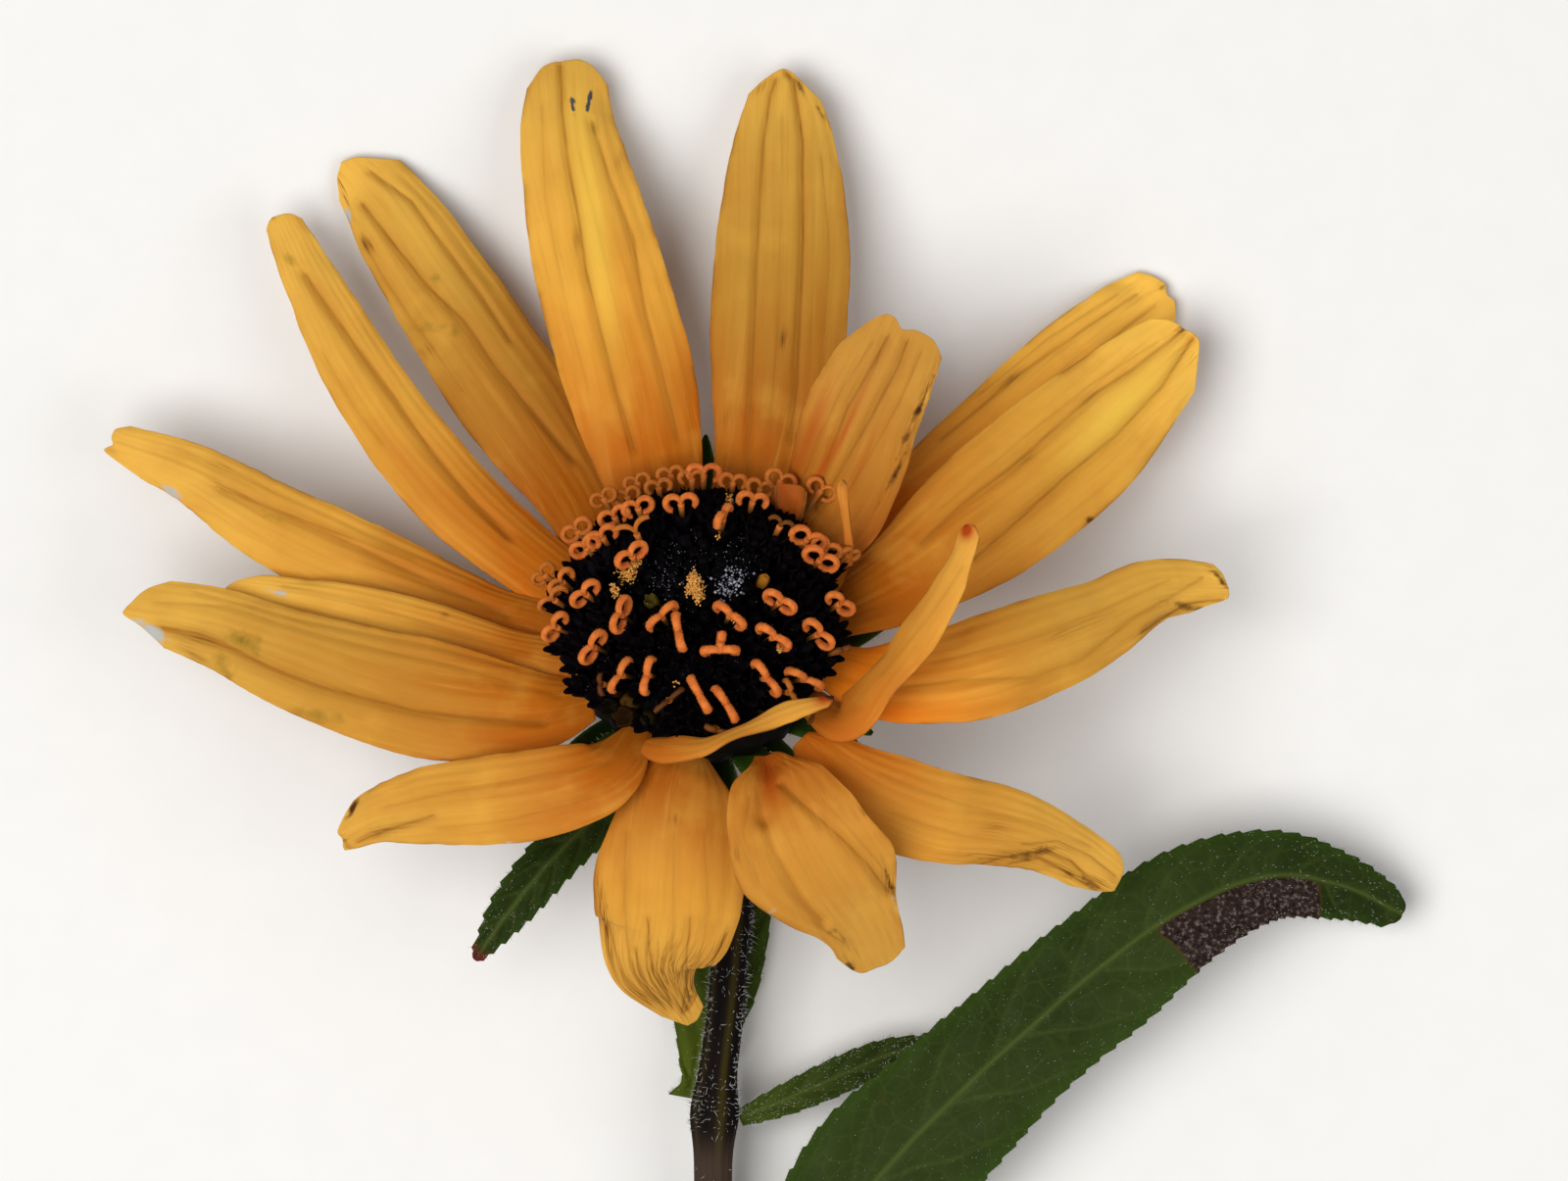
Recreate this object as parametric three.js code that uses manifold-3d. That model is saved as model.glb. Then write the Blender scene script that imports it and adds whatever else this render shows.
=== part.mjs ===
// A swamp sunflower, cut and laid down: it lies on the end of its stalk and on the tips of two rays.
// Millimetres and degrees. Seen from above, x is to the right, y is up and z is the height.
import * as THREE from "three";
import { mergeVertices } from "three/addons/utils/BufferGeometryUtils.js";
import Module from "manifold-3d";

// The plan below is drawn from the middle of the head. The part's own origin is the middle of its
// bounding box, on the surface that it lies on, and this is that point in the plan.
const ORIGIN = [2.93, -20.9];

// The head: its centre, and how far its axis leans from upright towards +Y
const HEAD_CENTRE = [0, -0.7, 13];
const HEAD_LEAN = 35;

// The disc of florets, a dome on a short neck
const DISC_RADIUS = 7.4;
const DISC_HEIGHT = 3.8;
const DISC_UNDERSIDE = [[0, -1.8], [5.5, -1.8], [5.6, -0.8], [7.1, -0.6]];
const DOME_RINGS = [0.8, 0.6, 0.4, 0.2];

// Florets, on a spiral that is closer in the middle
const FLORET_COUNT = 78;
const FLORET_SPREAD = 0.62;
const FLORET_RIM_SHARE = 0.97;
const GOLDEN_ANGLE = 137.508;
const FLORET_SINK = 0.6;
const FLORET_SIDES = 5;
const FLORET = { height: 0.95, foot: 0.42, mouth: 0.66 };
const BUD = { height: 0.75, shoulder: 0.3, radius: 0.5, tip: 0.175 };

// Florets within this radius are buds, and so is one in every few of the others
const BUD_ZONE = 3.3;
const CLOSED_EVERY = 8;
const CLOSED_FIRST = 3;

// The forked style of an open floret: a short post with two arms that roll outwards
const STYLE_FOOT = 0.475;
const STYLE_POST = 0.85;
const STYLE_THICKNESS = 0.2;
const STYLE_ROLL = 0.47;
const STYLE_TURN = 225;
const STYLE_STEPS = 4;
const STYLE_SIDES = 3;
const STYLE_SPIN = 77;

// The cup behind the head, and its phyllaries
const CUP = [[1.25, -7.2], [1.7, -6.7], [3.6, -5.9], [5.6, -4.6], [6.6, -3.2], [6.8, -2.1]];
const PHYLLARIES = 11;
const PHYLLARY_KEEL = 0.2;
const INNER_PHYLLARY = [[4.8, -4.7, 1.7], [7.0, -3.7, 2.0], [8.9, -3.8, 1.5], [10.6, -4.3, 0.4]];
const OUTER_PHYLLARY = [[3.6, -5.6, 1.7], [6.2, -5.5, 1.9], [8.1, -5.7, 1.4], [9.7, -6.3, 0.4]];

// Blades: their thickness, how much closer their steps are near the tip, how far the tip narrows,
// the width and place of their grooves as shares of the half width, and where notches begin
const BLADE_THICKNESS = 0.6;
const TIP_CROWDING = 1.25;
const TIP_NARROWING = 0.85;
const GROOVE_WIDTH = 0.2;
const PAIRED_GROOVE = 1 / 3;
const NOTCH_START = 0.8;

// The stalk: its course from the cut end to the cup, its radius and the swelling at its node
const STEM_COURSE = [
  [-0.6, -71.5, 0.86],
  [-0.2, -61, 1.35],
  [0.3, -50, 1.95],
  [0.55, -41, 2.5],
  [0.6, -33, 3.1],
  [0.65, -27, 3.6],
  [1.35, -20.5, 3.95],
  [1.75, -14.5, 4.15],
  [1.25, -10.3, 4.2],
  [0.55, -7.9, 4.45],
  [0.1, -6.15, 5.25],
  [0, -5.03, 6.82],
];
const STEM_STEPS = 3;
const STEM_SIDES = 10;
const STEM_RADIUS = 1.02;
const STEM_NODE_Y = -27;
const STEM_NODE_SWELL = 0.32;
const STEM_NODE_LENGTH = 1.5;

// Sides of the turned pieces, and the block under the surface that cuts things off flat
const TURNED_SEGMENTS = 20;
const GROUND = { size: 400, depth: 10 };

// Rays. Each row is x, y, z, width and bank, the roll about the row's own run; positive bank
// lifts the right-hand edge, looking outwards. Camber is the rise of the middle as a share of the
// half width, and the tip is rounded over its last few millimetres.
const RAYS = {
  ray_01: {
    rows: [
      [-5.4, -4.6, 14, 1.3, -29], [-9.1, -5.3, 14.4, 4.6, -20], [-13.2, -5, 14, 6.4, -10],
      [-17.6, -3.9, 12.5, 6.1, 0], [-22, -2.3, 10.7, 5.2, 0], [-26.3, -0.7, 8.8, 4.4, 0],
      [-30.6, 0.1, 7.2, 3.4, 0],
    ],
    grooves: 2, lobes: 2, notch: 0.25, tip: 2,
  },
  ray_02: {
    rows: [
      [-6.3, -3, 12.95, 1.1, -33], [-9.6, -2.3, 12.4, 2.1, -23],
      [-13.3, -1.4, 11.7, 3.1, -11], [-17.2, -0.4, 10.55, 3.3, 0], [-21.2, 0.6, 9.1, 2.7, 0],
      [-25.4, 1.3, 7.6, 1.8, 0],
    ],
  },
  ray_03: {
    rows: [
      [-6.6, -1.2, 11.5, 1.2, -35], [-10.6, -0.1, 10.05, 3.2, -20], [-15, 1.3, 9, 4.6, -10],
      [-19.4, 3, 8.1, 4.7, 0], [-23.6, 5, 7, 4.2, 0], [-27.7, 7.4, 5.5, 3.2, 0],
      [-31.9, 9.1, 4.2, 2.6, 0],
    ],
    lobes: 2, notch: 0.5, tip: 1.6,
  },
  ray_04: {
    rows: [
      [-6.1, 0.6, 10.2, 1.2, -32], [-9.4, 3, 8.8, 3.3, -22], [-13, 6, 7.8, 4.1, -11],
      [-16.3, 9.8, 6.6, 4.2, 0], [-18.9, 13.8, 5.2, 3.9, 0], [-21.1, 17.8, 3.8, 2.9, 0],
      [-22.8, 21.3, 2.7, 2, 0],
    ],
    tip: 1.2,
  },
  ray_05: {
    rows: [
      [-4.6, 2.5, 9, 1.3, -24], [-6.7, 6.5, 6.8, 4.1, -20], [-9.1, 10.3, 5.4, 5.7, -14],
      [-11.8, 14.2, 4.1, 5.8, -8], [-14.4, 18, 2.8, 5.3, 0], [-17, 21.8, 1.2, 4.6, 0],
      [-18.9, 24.1, 0.14, 3.6, 0],
    ],
    grooves: 2, lobes: 2, notch: 0.4, tip: 1.8,
  },
  ray_06: {
    rows: [
      [-1.8, 3.8, 7.95, 1.3, -10], [-2.8, 8.2, 7.5, 5.5, -7], [-3.8, 12.5, 7.4, 6.9, -3],
      [-4.9, 17, 6.3, 7, 0], [-6.1, 21.6, 4.5, 6.3, 0], [-7, 26, 2.7, 5, 0],
      [-7.2, 29.6, 1.4, 4, 0],
    ],
    grooves: 1, tip: 2.4, across: 6,
  },
  ray_07: {
    rows: [
      [1.9, 3.8, 7.95, 1.3, 10], [3.2, 8, 7.1, 5.4, 7], [3.9, 12, 6.7, 7, 3],
      [4.2, 16.5, 5.8, 7.4, 0], [4.4, 21.2, 4.2, 6.7, 0], [4.4, 25.5, 2.8, 5.1, 0],
      [4.4, 29.1, 1.7, 3, 0],
    ],
    grooves: 2, tip: 2, across: 6,
  },
  ray_08: {
    rows: [
      [4.1, 2.9, 8.55, 1.2, 21], [6.2, 5.5, 9.1, 3.8, 12], [7.6, 8, 10.8, 5.8, 4],
      [8.6, 10.4, 11.9, 6.2, 0], [9.9, 13, 12.4, 5.8, 0], [11.3, 16, 12.4, 4.7, 0],
    ],
    grooves: 2, lobes: 3, notch: 0.5, tip: 1.2, across: 6, along: 8,
  },
  ray_09: {
    rows: [
      [5.7, 1.4, 9.7, 1.1, 30], [9.5, 4.7, 6.9, 3.5, 20], [12.9, 7.4, 5.6, 4.7, 10],
      [16.3, 10.1, 4.3, 4.9, 0], [19.7, 13, 2.8, 4.8, 0], [22.8, 15.5, 1.1, 4.3, 0],
      [25, 17.1, 0.14, 3.6, 0],
    ],
    lobes: 2, notch: 0.5, tip: 1.8,
  },
  ray_10: {
    rows: [
      [6.5, -0.6, 11.1, 1.1, 34], [10.3, 1.6, 10.2, 4.4, 18], [13.9, 4.3, 9.2, 6.6, 8],
      [17.3, 6.9, 7.9, 7.3, 0], [20.7, 9.7, 6.2, 7, 0], [23.8, 12.6, 4.6, 5.5, 0],
      [26.3, 14.8, 3.4, 3.9, 0],
    ],
    grooves: 2, lobes: 3, notch: 0.3, tip: 1.8, across: 6,
  },
  ray_11: {
    rows: [
      [5.7, -4.4, 13.8, 1.1, 30], [8, -6, 16.6, 1.8, 20], [9.7, -3.7, 17.5, 2.8, 50],
      [11.5, -1.3, 18.2, 3, 50], [13, 1, 18.9, 2.5, 50], [14, 3, 19.4, 1.8, 45],
      [14.6, 4.7, 19.8, 1.2, 40],
    ],
    grooves: 0, across: 2, tip: 1,
  },
  ray_12: {
    rows: [
      [6.4, -2.6, 12.6, 1.2, 34], [9.5, -3.8, 13.3, 3.4, 23], [13.4, -3.4, 13.2, 5.3, 12],
      [17.2, -2.2, 12.4, 5.6, 0], [21, -0.7, 11, 4.9, 0], [24.6, 0.9, 9.2, 3.8, 0],
      [28.1, 1.1, 7.5, 2.6, 0],
    ],
    tip: 1.6,
  },
  ray_13: {
    rows: [
      [4.2, -5.6, 14.75, 1.2, 22], [6.4, -7.9, 14.9, 3.2, 15], [9.5, -9.9, 15.4, 5.1, 8],
      [12.9, -11.2, 15.1, 5.1, 0], [16.3, -11.7, 13.9, 4.4, 0], [19.5, -12.8, 12.1, 3.5, 0],
      [22.3, -14.4, 10.2, 2.6, 0],
    ],
    tip: 1.4,
  },
  ray_14: {
    rows: [
      [2.3, -6.6, 15.3, 1.2, 12], [3.9, -8.5, 17.3, 4.4, 8], [4.7, -10.7, 18.9, 7, 4],
      [5.7, -13.1, 18.9, 7.8, 0], [7.1, -15.4, 17.2, 6.7, 0], [8.4, -17.3, 14.9, 4.6, 0],
      [9.4, -19.1, 12.6, 3.3, 0],
    ],
    camber: -0.12, grooves: 2, tip: 1.2, across: 6,
  },
  ray_15: {
    rows: [
      [-0.5, -6.9, 15.6, 1.3, 0], [-1, -9.2, 16.1, 4.8, -8], [-1.4, -11.6, 16.5, 7, -7],
      [-1.7, -14.2, 16.2, 8.2, -3], [-1.9, -16.8, 14.9, 7.6, 0], [-2.2, -19.2, 12.7, 5.6, 0],
      [-2, -21.3, 10.5, 3.4, 0],
    ],
    grooves: 2, tip: 1.4, across: 6,
  },
  ray_16: {
    rows: [
      [-3.2, -6.2, 15.15, 1.1, -17], [-5.1, -8.5, 17.2, 3.7, -12], [-8.3, -9.6, 17.5, 4.8, -6],
      [-11.6, -10.1, 16.4, 4.7, 0], [-14.7, -10.4, 14.7, 4.2, 0], [-17.3, -10.9, 12.9, 3.2, 0],
      [-19.3, -11.8, 11.4, 2.2, 0],
    ],
    tip: 1.2,
  },
  ray_17: {
    rows: [
      [-3, -7.6, 17.6, 0.9, 30], [-1.6, -8, 18.8, 1.3, 45], [0.3, -7.7, 19.8, 1.5, 60],
      [2.4, -6.6, 20.4, 1.5, 65], [4.8, -5.4, 20.3, 1.4, 50], [7.1, -4.6, 19.8, 0.8, 40],
    ],
    grooves: 0, across: 2, tip: 0.8,
  },
  ray_18: {
    rows: [
      [7.8, 2.6, 11.4, 0.7, 0], [7.9, 3.9, 12.6, 0.7, 30], [7.7, 5.5, 13.8, 0.7, 40],
      [7.4, 7.1, 14.8, 0.5, 40],
    ],
    grooves: 0, across: 2, along: 5, tip: 0.5,
  },
};

// Leaves, in rows of the same kind
const LEAVES = {
  leafy_bract: {
    rows: [
      [-0.75, -8.2, 5, 0.9, 0], [-4.2, -9.9, 7.2, 2, 0], [-7.4, -12.6, 8.5, 2.6, 0],
      [-10.1, -15.7, 8.7, 2.2, 0], [-12.2, -18.7, 8.2, 0.5, 0],
    ],
    camber: -0.2, grooves: 1, along: 9, tip: 0.3,
  },
  leaf_behind: {
    rows: [
      [-0.9, -26.9, 1.3, 0.9, 0], [-0.3, -24.1, 1.45, 3, 0], [0.5, -20.8, 1.6, 4.6, 0],
      [1.5, -17.4, 2, 4.5, 0], [2.2, -14.2, 2.4, 3, 0], [2.6, -11.2, 2.8, 0.5, 0],
    ],
    camber: -0.08, grooves: 1, tip: 0.3,
  },
  leaf_small: {
    rows: [
      [2.4, -27.1, 3.4, 0.8, 0], [4.6, -26.3, 3.2, 1.4, 0], [7.3, -25, 2.9, 1.7, 0],
      [10.1, -23.8, 2.4, 1.5, 0], [12.8, -23, 2, 0.4, 0],
    ],
    camber: -0.2, grooves: 0, across: 2, along: 8, tip: 0.3,
  },
  leaf_large: {
    rows: [
      [2.4, -40.8, 2.6, 1.2, 0], [5.4, -35.4, 3.9, 5, 0], [9.4, -30.1, 5, 7.8, 0],
      [14.4, -25.3, 6, 7.7, 0], [19.2, -20.6, 6.6, 7, 0], [24.1, -16.8, 6.6, 6.3, 0],
      [29.4, -14.4, 5.6, 5.3, 0], [34, -14.6, 3.8, 3.7, 0], [37.8, -16.2, 2.2, 0.6, 0],
    ],
    camber: -0.12, grooves: 1, along: 18, across: 6, tip: 0.8,
  },
};

const COLOUR = {
  ray: [0xd9a23f, 0.6],
  disc: [0x120a14, 0.7],
  involucre: [0x24380c, 0.75],
  leaf: [0x2a4020, 0.75],
  stem: [0x2a1c1e, 0.8],
};

const wasm = await Module();
wasm.setup();

const radians = THREE.MathUtils.degToRad;
const polar = (angle, radius, height) =>
  new THREE.Vector3(radius * Math.cos(radians(angle)), radius * Math.sin(radians(angle)), height);
const curveThrough = (points) => new THREE.CatmullRomCurve3(points, false, "catmullrom", 0.5);

// A closed geometry as a solid that can be joined and cut, and back again
function solidOf(geometry) {
  const bare = geometry.clone();
  bare.deleteAttribute("normal");
  bare.deleteAttribute("uv");
  const merged = mergeVertices(bare, 1e-4);
  return new wasm.Manifold(new wasm.Mesh({
    numProp: 3,
    vertProperties: merged.getAttribute("position").array,
    triVerts: new Uint32Array(merged.index.array),
  }));
}

function geometryOf(solid) {
  const mesh = solid.getMesh();
  const geometry = new THREE.BufferGeometry();
  geometry.setAttribute("position", new THREE.BufferAttribute(mesh.vertProperties, 3));
  geometry.setIndex(new THREE.BufferAttribute(mesh.triVerts, 1));
  geometry.computeVertexNormals();
  return geometry;
}

// Solids joined two by two, which keeps each join small
function joined(solids) {
  let left = solids;
  while (left.length > 1) {
    const pairs = [];
    for (let i = 0; i < left.length; i += 2) {
      pairs.push(i + 1 < left.length ? left[i].add(left[i + 1]) : left[i]);
    }
    left = pairs;
  }
  return left[0];
}

// What is below the surface is cut off flat
function flatUnderneath(solid) {
  const { size, depth } = GROUND;
  const ground = new THREE.BoxGeometry(size, size, depth).translate(0, 0, -depth / 2);
  return solid.subtract(solidOf(ground));
}

function indexed(points, faces) {
  const geometry = new THREE.BufferGeometry().setFromPoints(points);
  geometry.setIndex(faces);
  return geometry;
}

// A sheet between two grids of points, rows outwards and columns from left to right, closed round
// its edges; both faces are split along the same diagonals
function sheet(top, bottom) {
  const rows = top.length;
  const columns = top[0].length;
  const faces = [];
  const up = (i, j) => i * columns + j;
  const down = (i, j) => rows * columns + i * columns + j;
  const wall = (a, b, c, d) => faces.push(a, b, c, a, c, d);
  for (let i = 0; i + 1 < rows; i += 1) {
    for (let j = 0; j + 1 < columns; j += 1) {
      wall(up(i, j), up(i, j + 1), up(i + 1, j + 1), up(i + 1, j));
      faces.push(down(i, j), down(i + 1, j + 1), down(i, j + 1));
      faces.push(down(i, j), down(i + 1, j), down(i + 1, j + 1));
    }
    const last = columns - 1;
    wall(up(i, 0), up(i + 1, 0), down(i + 1, 0), down(i, 0));
    wall(up(i + 1, last), up(i, last), down(i, last), down(i + 1, last));
  }
  for (let j = 0; j + 1 < columns; j += 1) {
    const last = rows - 1;
    wall(up(0, j + 1), up(0, j), down(0, j), down(0, j + 1));
    wall(up(last, j), up(last, j + 1), down(last, j + 1), down(last, j));
  }
  return indexed([...top.flat(), ...bottom.flat()], faces);
}

// A blade through its rows: cambered across, with grooves along it, a rounded tip and notches
// that pull the end back between its lobes
function blade({ rows, along = 10, across = 4, camber = 0.2, grooves = 1, groove = 0.16,
  lobes = 1, notch = 0, tip = 1.5 }) {
  const spine = curveThrough(rows.map(([x, y, z]) => new THREE.Vector3(x, y, z)));
  const shape = curveThrough(rows.map(([, , , width, bank]) => new THREE.Vector3(width, bank, 0)));
  const length = spine.getLength();
  const upright = new THREE.Vector3(0, 0, 1);
  const top = [];
  const bottom = [];
  for (let i = 0; i <= along; i += 1) {
    const reach = 1 - (1 - i / along) ** TIP_CROWDING;
    const nearTip = Math.max(0, 1 - (1 - reach) * length / tip);
    const roundness = Math.sqrt(1 - TIP_NARROWING * nearTip ** 2);
    const pullBack = THREE.MathUtils.smoothstep(reach, NOTCH_START, 1) * notch / length;
    const topRow = [];
    const bottomRow = [];
    for (let j = 0; j <= across; j += 1) {
      const v = 2 * j / across - 1;
      const t = reach - pullBack * (1 + Math.cos(Math.PI * lobes * (v + 1))) / 2;
      const { x: width, y: bank } = shape.getPoint(t);
      const run = spine.getTangent(t);
      const side = new THREE.Vector3().crossVectors(run, upright).normalize();
      side.applyAxisAngle(run, -radians(bank));
      const normal = new THREE.Vector3().crossVectors(side, run).normalize();
      const half = width * roundness / 2;
      const grooveAt = grooves === 2 ? PAIRED_GROOVE : 0;
      const hollow = grooves && Math.exp(-(((Math.abs(v) - grooveAt) / GROOVE_WIDTH) ** 2));
      const rise = half * camber * (1 - v * v) - groove * hollow * Math.sin(Math.PI * reach);
      const middle = spine.getPoint(t).addScaledVector(side, v * half).addScaledVector(normal, rise);
      topRow.push(middle.clone().addScaledVector(normal, BLADE_THICKNESS / 2));
      bottomRow.push(middle.clone().addScaledVector(normal, -BLADE_THICKNESS / 2));
    }
    top.push(topRow);
    bottom.push(bottomRow);
  }
  return sheet(top, bottom);
}

// A round rod through its points, with a radius for each, closed at both ends
function rod(points, radii, sides, startSide) {
  const positions = [];
  const faces = [];
  const side = startSide.clone();
  points.forEach((point, i) => {
    const before = points[Math.max(0, i - 1)];
    const after = points[Math.min(points.length - 1, i + 1)];
    const run = new THREE.Vector3().subVectors(after, before).normalize();
    side.addScaledVector(run, -side.dot(run)).normalize();
    const other = new THREE.Vector3().crossVectors(run, side);
    for (let k = 0; k < sides; k += 1) {
      const turn = 2 * Math.PI * k / sides;
      positions.push(point.clone()
        .addScaledVector(side, radii[i] * Math.cos(turn))
        .addScaledVector(other, radii[i] * Math.sin(turn)));
    }
  });
  const ring = (i, k) => i * sides + (k % sides);
  for (let i = 0; i + 1 < points.length; i += 1) {
    for (let k = 0; k < sides; k += 1) {
      faces.push(ring(i, k), ring(i, k + 1), ring(i + 1, k + 1));
      faces.push(ring(i, k), ring(i + 1, k + 1), ring(i + 1, k));
    }
  }
  const last = points.length - 1;
  for (let k = 1; k + 1 < sides; k += 1) {
    faces.push(ring(0, 0), ring(0, k + 1), ring(0, k));
    faces.push(ring(last, 0), ring(last, k), ring(last, k + 1));
  }
  return indexed(positions, faces);
}

function turned(profile) {
  const points = profile.map(([radius, height]) => new THREE.Vector2(radius, height));
  return new THREE.LatheGeometry(points, TURNED_SEGMENTS).rotateX(Math.PI / 2);
}

// The foot and the direction of each floret on the dome
function floretPlaces() {
  const places = [];
  for (let n = 0; n < FLORET_COUNT; n += 1) {
    const share = (n + 0.5) / FLORET_COUNT;
    const radius = DISC_RADIUS * FLORET_RIM_SHARE * share ** FLORET_SPREAD;
    const height = DISC_HEIGHT * (1 - (radius / DISC_RADIUS) ** 2);
    const angle = GOLDEN_ANGLE * n;
    const slope = 2 * DISC_HEIGHT * radius / DISC_RADIUS ** 2;
    places.push({
      foot: polar(angle, radius, height),
      way: polar(angle, slope, 1).normalize(),
      outwards: polar(angle, 1, 0),
      spin: STYLE_SPIN * n,
      open: radius > BUD_ZONE && n % CLOSED_EVERY !== CLOSED_FIRST,
    });
  }
  return places;
}

// A five-sided floret: a bud that comes to a point, or an open tube that widens to its mouth
function floret({ foot, way, outwards, open }) {
  const at = (height) => foot.clone().addScaledVector(way, height);
  const points = open
    ? [at(-FLORET_SINK), at(FLORET.height)]
    : [at(-FLORET_SINK), at(BUD.shoulder), at(BUD.height)];
  const radii = open ? [FLORET.foot, FLORET.mouth] : [BUD.radius, BUD.radius, BUD.tip];
  return solidOf(rod(points, radii, FLORET_SIDES, outwards));
}

// A style: the post, and one rod that runs from the end of one rolled arm to that of the other
function style({ foot, way, outwards, spin }) {
  const across = outwards.clone().addScaledVector(way, -outwards.dot(way)).normalize();
  across.applyAxisAngle(way, radians(spin));
  const postTop = foot.clone().addScaledVector(way, FLORET.height + STYLE_POST);
  const arms = [];
  for (let step = -STYLE_STEPS; step <= STYLE_STEPS; step += 1) {
    const turn = radians(STYLE_TURN * Math.abs(step) / STYLE_STEPS);
    const away = Math.sign(step) * STYLE_ROLL * (1 - Math.cos(turn));
    const up = STYLE_ROLL * Math.sin(turn);
    arms.push(postTop.clone().addScaledVector(across, away).addScaledVector(way, up));
  }
  const upperSide = way.clone().cross(across);
  const armRadii = arms.map(() => STYLE_THICKNESS);
  const post = [foot.clone().addScaledVector(way, STYLE_FOOT), postTop];
  return [
    solidOf(rod(post, [STYLE_THICKNESS, STYLE_THICKNESS], STYLE_SIDES, across)),
    solidOf(rod(arms, armRadii, STYLE_SIDES, upperSide)),
  ];
}

function disc() {
  const dome = DOME_RINGS.map((share) => [DISC_RADIUS * share, DISC_HEIGHT * (1 - share ** 2)]);
  const profile = [...DISC_UNDERSIDE, [DISC_RADIUS, 0], ...dome, [0, DISC_HEIGHT]];
  const pieces = [solidOf(turned(profile))];
  for (const place of floretPlaces()) {
    pieces.push(floret(place));
    if (place.open) pieces.push(...style(place));
  }
  return joined(pieces);
}

// A phyllary leaves the cup at an angle round it, with rows of radius, height and width; its
// edges are lower than its keel
function phyllary(angle, rows) {
  const sideways = polar(angle + 90, 1, 0);
  const lift = new THREE.Vector3(0, 0, BLADE_THICKNESS / 2);
  const top = rows.map(([radius, height, width]) => [1, 0, -1].map((share) =>
    polar(angle, radius, height - Math.abs(share) * PHYLLARY_KEEL)
      .addScaledVector(sideways, width * share / 2).add(lift)));
  const bottom = top.map((row) => row.map((point) => point.clone().addScaledVector(lift, -2)));
  return solidOf(sheet(top, bottom));
}

function involucre() {
  const top = CUP[CUP.length - 1];
  const pieces = [solidOf(turned([[0, CUP[0][1]], ...CUP, [0, top[1]]]))];
  for (let k = 0; k < PHYLLARIES; k += 1) {
    pieces.push(phyllary(360 * k / PHYLLARIES, INNER_PHYLLARY));
    pieces.push(phyllary(360 * (k + 0.5) / PHYLLARIES, OUTER_PHYLLARY));
  }
  return joined(pieces);
}

function stem() {
  const course = curveThrough(STEM_COURSE.map((point) => new THREE.Vector3(...point)));
  const points = course.getPoints(STEM_STEPS * (STEM_COURSE.length - 1));
  const radii = points.map(({ y }) =>
    STEM_RADIUS + STEM_NODE_SWELL * Math.exp(-(((y - STEM_NODE_Y) / STEM_NODE_LENGTH) ** 2)));
  return flatUnderneath(solidOf(rod(points, radii, STEM_SIDES, new THREE.Vector3(1, 0, 0))));
}

function named(name, solid, [color, roughness]) {
  const material = new THREE.MeshStandardMaterial({ color, roughness, metalness: 0 });
  const mesh = new THREE.Mesh(geometryOf(solid), material);
  mesh.name = name;
  return mesh;
}

const head = new THREE.Group();
head.position.set(...HEAD_CENTRE);
head.rotation.x = -radians(HEAD_LEAN);
head.add(named("disc", disc(), COLOUR.disc));
head.add(named("involucre", involucre(), COLOUR.involucre));

const flower = new THREE.Group();
flower.add(head);
flower.add(named("stem", stem(), COLOUR.stem));
for (const [name, ray] of Object.entries(RAYS)) {
  flower.add(named(name, flatUnderneath(solidOf(blade(ray))), COLOUR.ray));
}
for (const [name, leaf] of Object.entries(LEAVES)) {
  flower.add(named(name, solidOf(blade(leaf)), COLOUR.leaf));
}
flower.position.set(-ORIGIN[0], -ORIGIN[1], 0);

const plant = new THREE.Group();
plant.add(flower);

export default plant;
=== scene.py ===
"""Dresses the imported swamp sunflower: fine rays, florets, styles, leaves, hairs and their colours.

Shapes are worked out in plan millimetres, the same as the solids: x to the right, y up and z above
the surface, seen from above, with the middle of the head near the plan's zero.
"""
import math

import bpy
import numpy as np
from bpy.props import FloatProperty, FloatVectorProperty, IntProperty, PointerProperty
from mathutils import Matrix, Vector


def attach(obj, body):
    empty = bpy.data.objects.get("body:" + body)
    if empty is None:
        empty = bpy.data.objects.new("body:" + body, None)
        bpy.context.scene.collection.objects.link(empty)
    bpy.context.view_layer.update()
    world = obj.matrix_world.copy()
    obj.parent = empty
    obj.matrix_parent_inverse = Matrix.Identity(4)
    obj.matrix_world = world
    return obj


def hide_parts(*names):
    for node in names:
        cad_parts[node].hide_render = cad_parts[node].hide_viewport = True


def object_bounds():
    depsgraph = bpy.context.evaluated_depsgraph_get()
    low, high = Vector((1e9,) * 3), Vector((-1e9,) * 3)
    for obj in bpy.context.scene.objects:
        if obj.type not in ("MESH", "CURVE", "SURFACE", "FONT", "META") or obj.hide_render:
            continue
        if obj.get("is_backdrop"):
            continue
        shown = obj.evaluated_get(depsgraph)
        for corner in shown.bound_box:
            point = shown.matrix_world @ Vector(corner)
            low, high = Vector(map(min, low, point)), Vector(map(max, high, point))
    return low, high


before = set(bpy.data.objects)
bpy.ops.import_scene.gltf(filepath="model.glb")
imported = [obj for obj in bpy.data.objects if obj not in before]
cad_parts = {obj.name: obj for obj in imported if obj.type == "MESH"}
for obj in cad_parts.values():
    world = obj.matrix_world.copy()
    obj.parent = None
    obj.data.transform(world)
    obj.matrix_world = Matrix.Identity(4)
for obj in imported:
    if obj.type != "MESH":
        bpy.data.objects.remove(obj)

bl_info = {
    "name": "Swamp Sunflower",
    "version": (1, 0, 0),
    "blender": (4, 5, 0),
    "location": "View3D > Sidebar > Sunflower",
    "description": "Builds a cut swamp sunflower on its packed solids",
    "category": "Object",
}

MM = 0.001
BODY = "root"

# The plan point above the part's own origin
PLAN_ORIGIN = np.array([2.93, -20.9, 0.0])

# The photograph's frame: pixels to the millimetre, and the pixel over the plan's zero
PIXELS_PER_MM = 19.0
ZERO_PIXEL = (716.0, 625.0)

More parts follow.
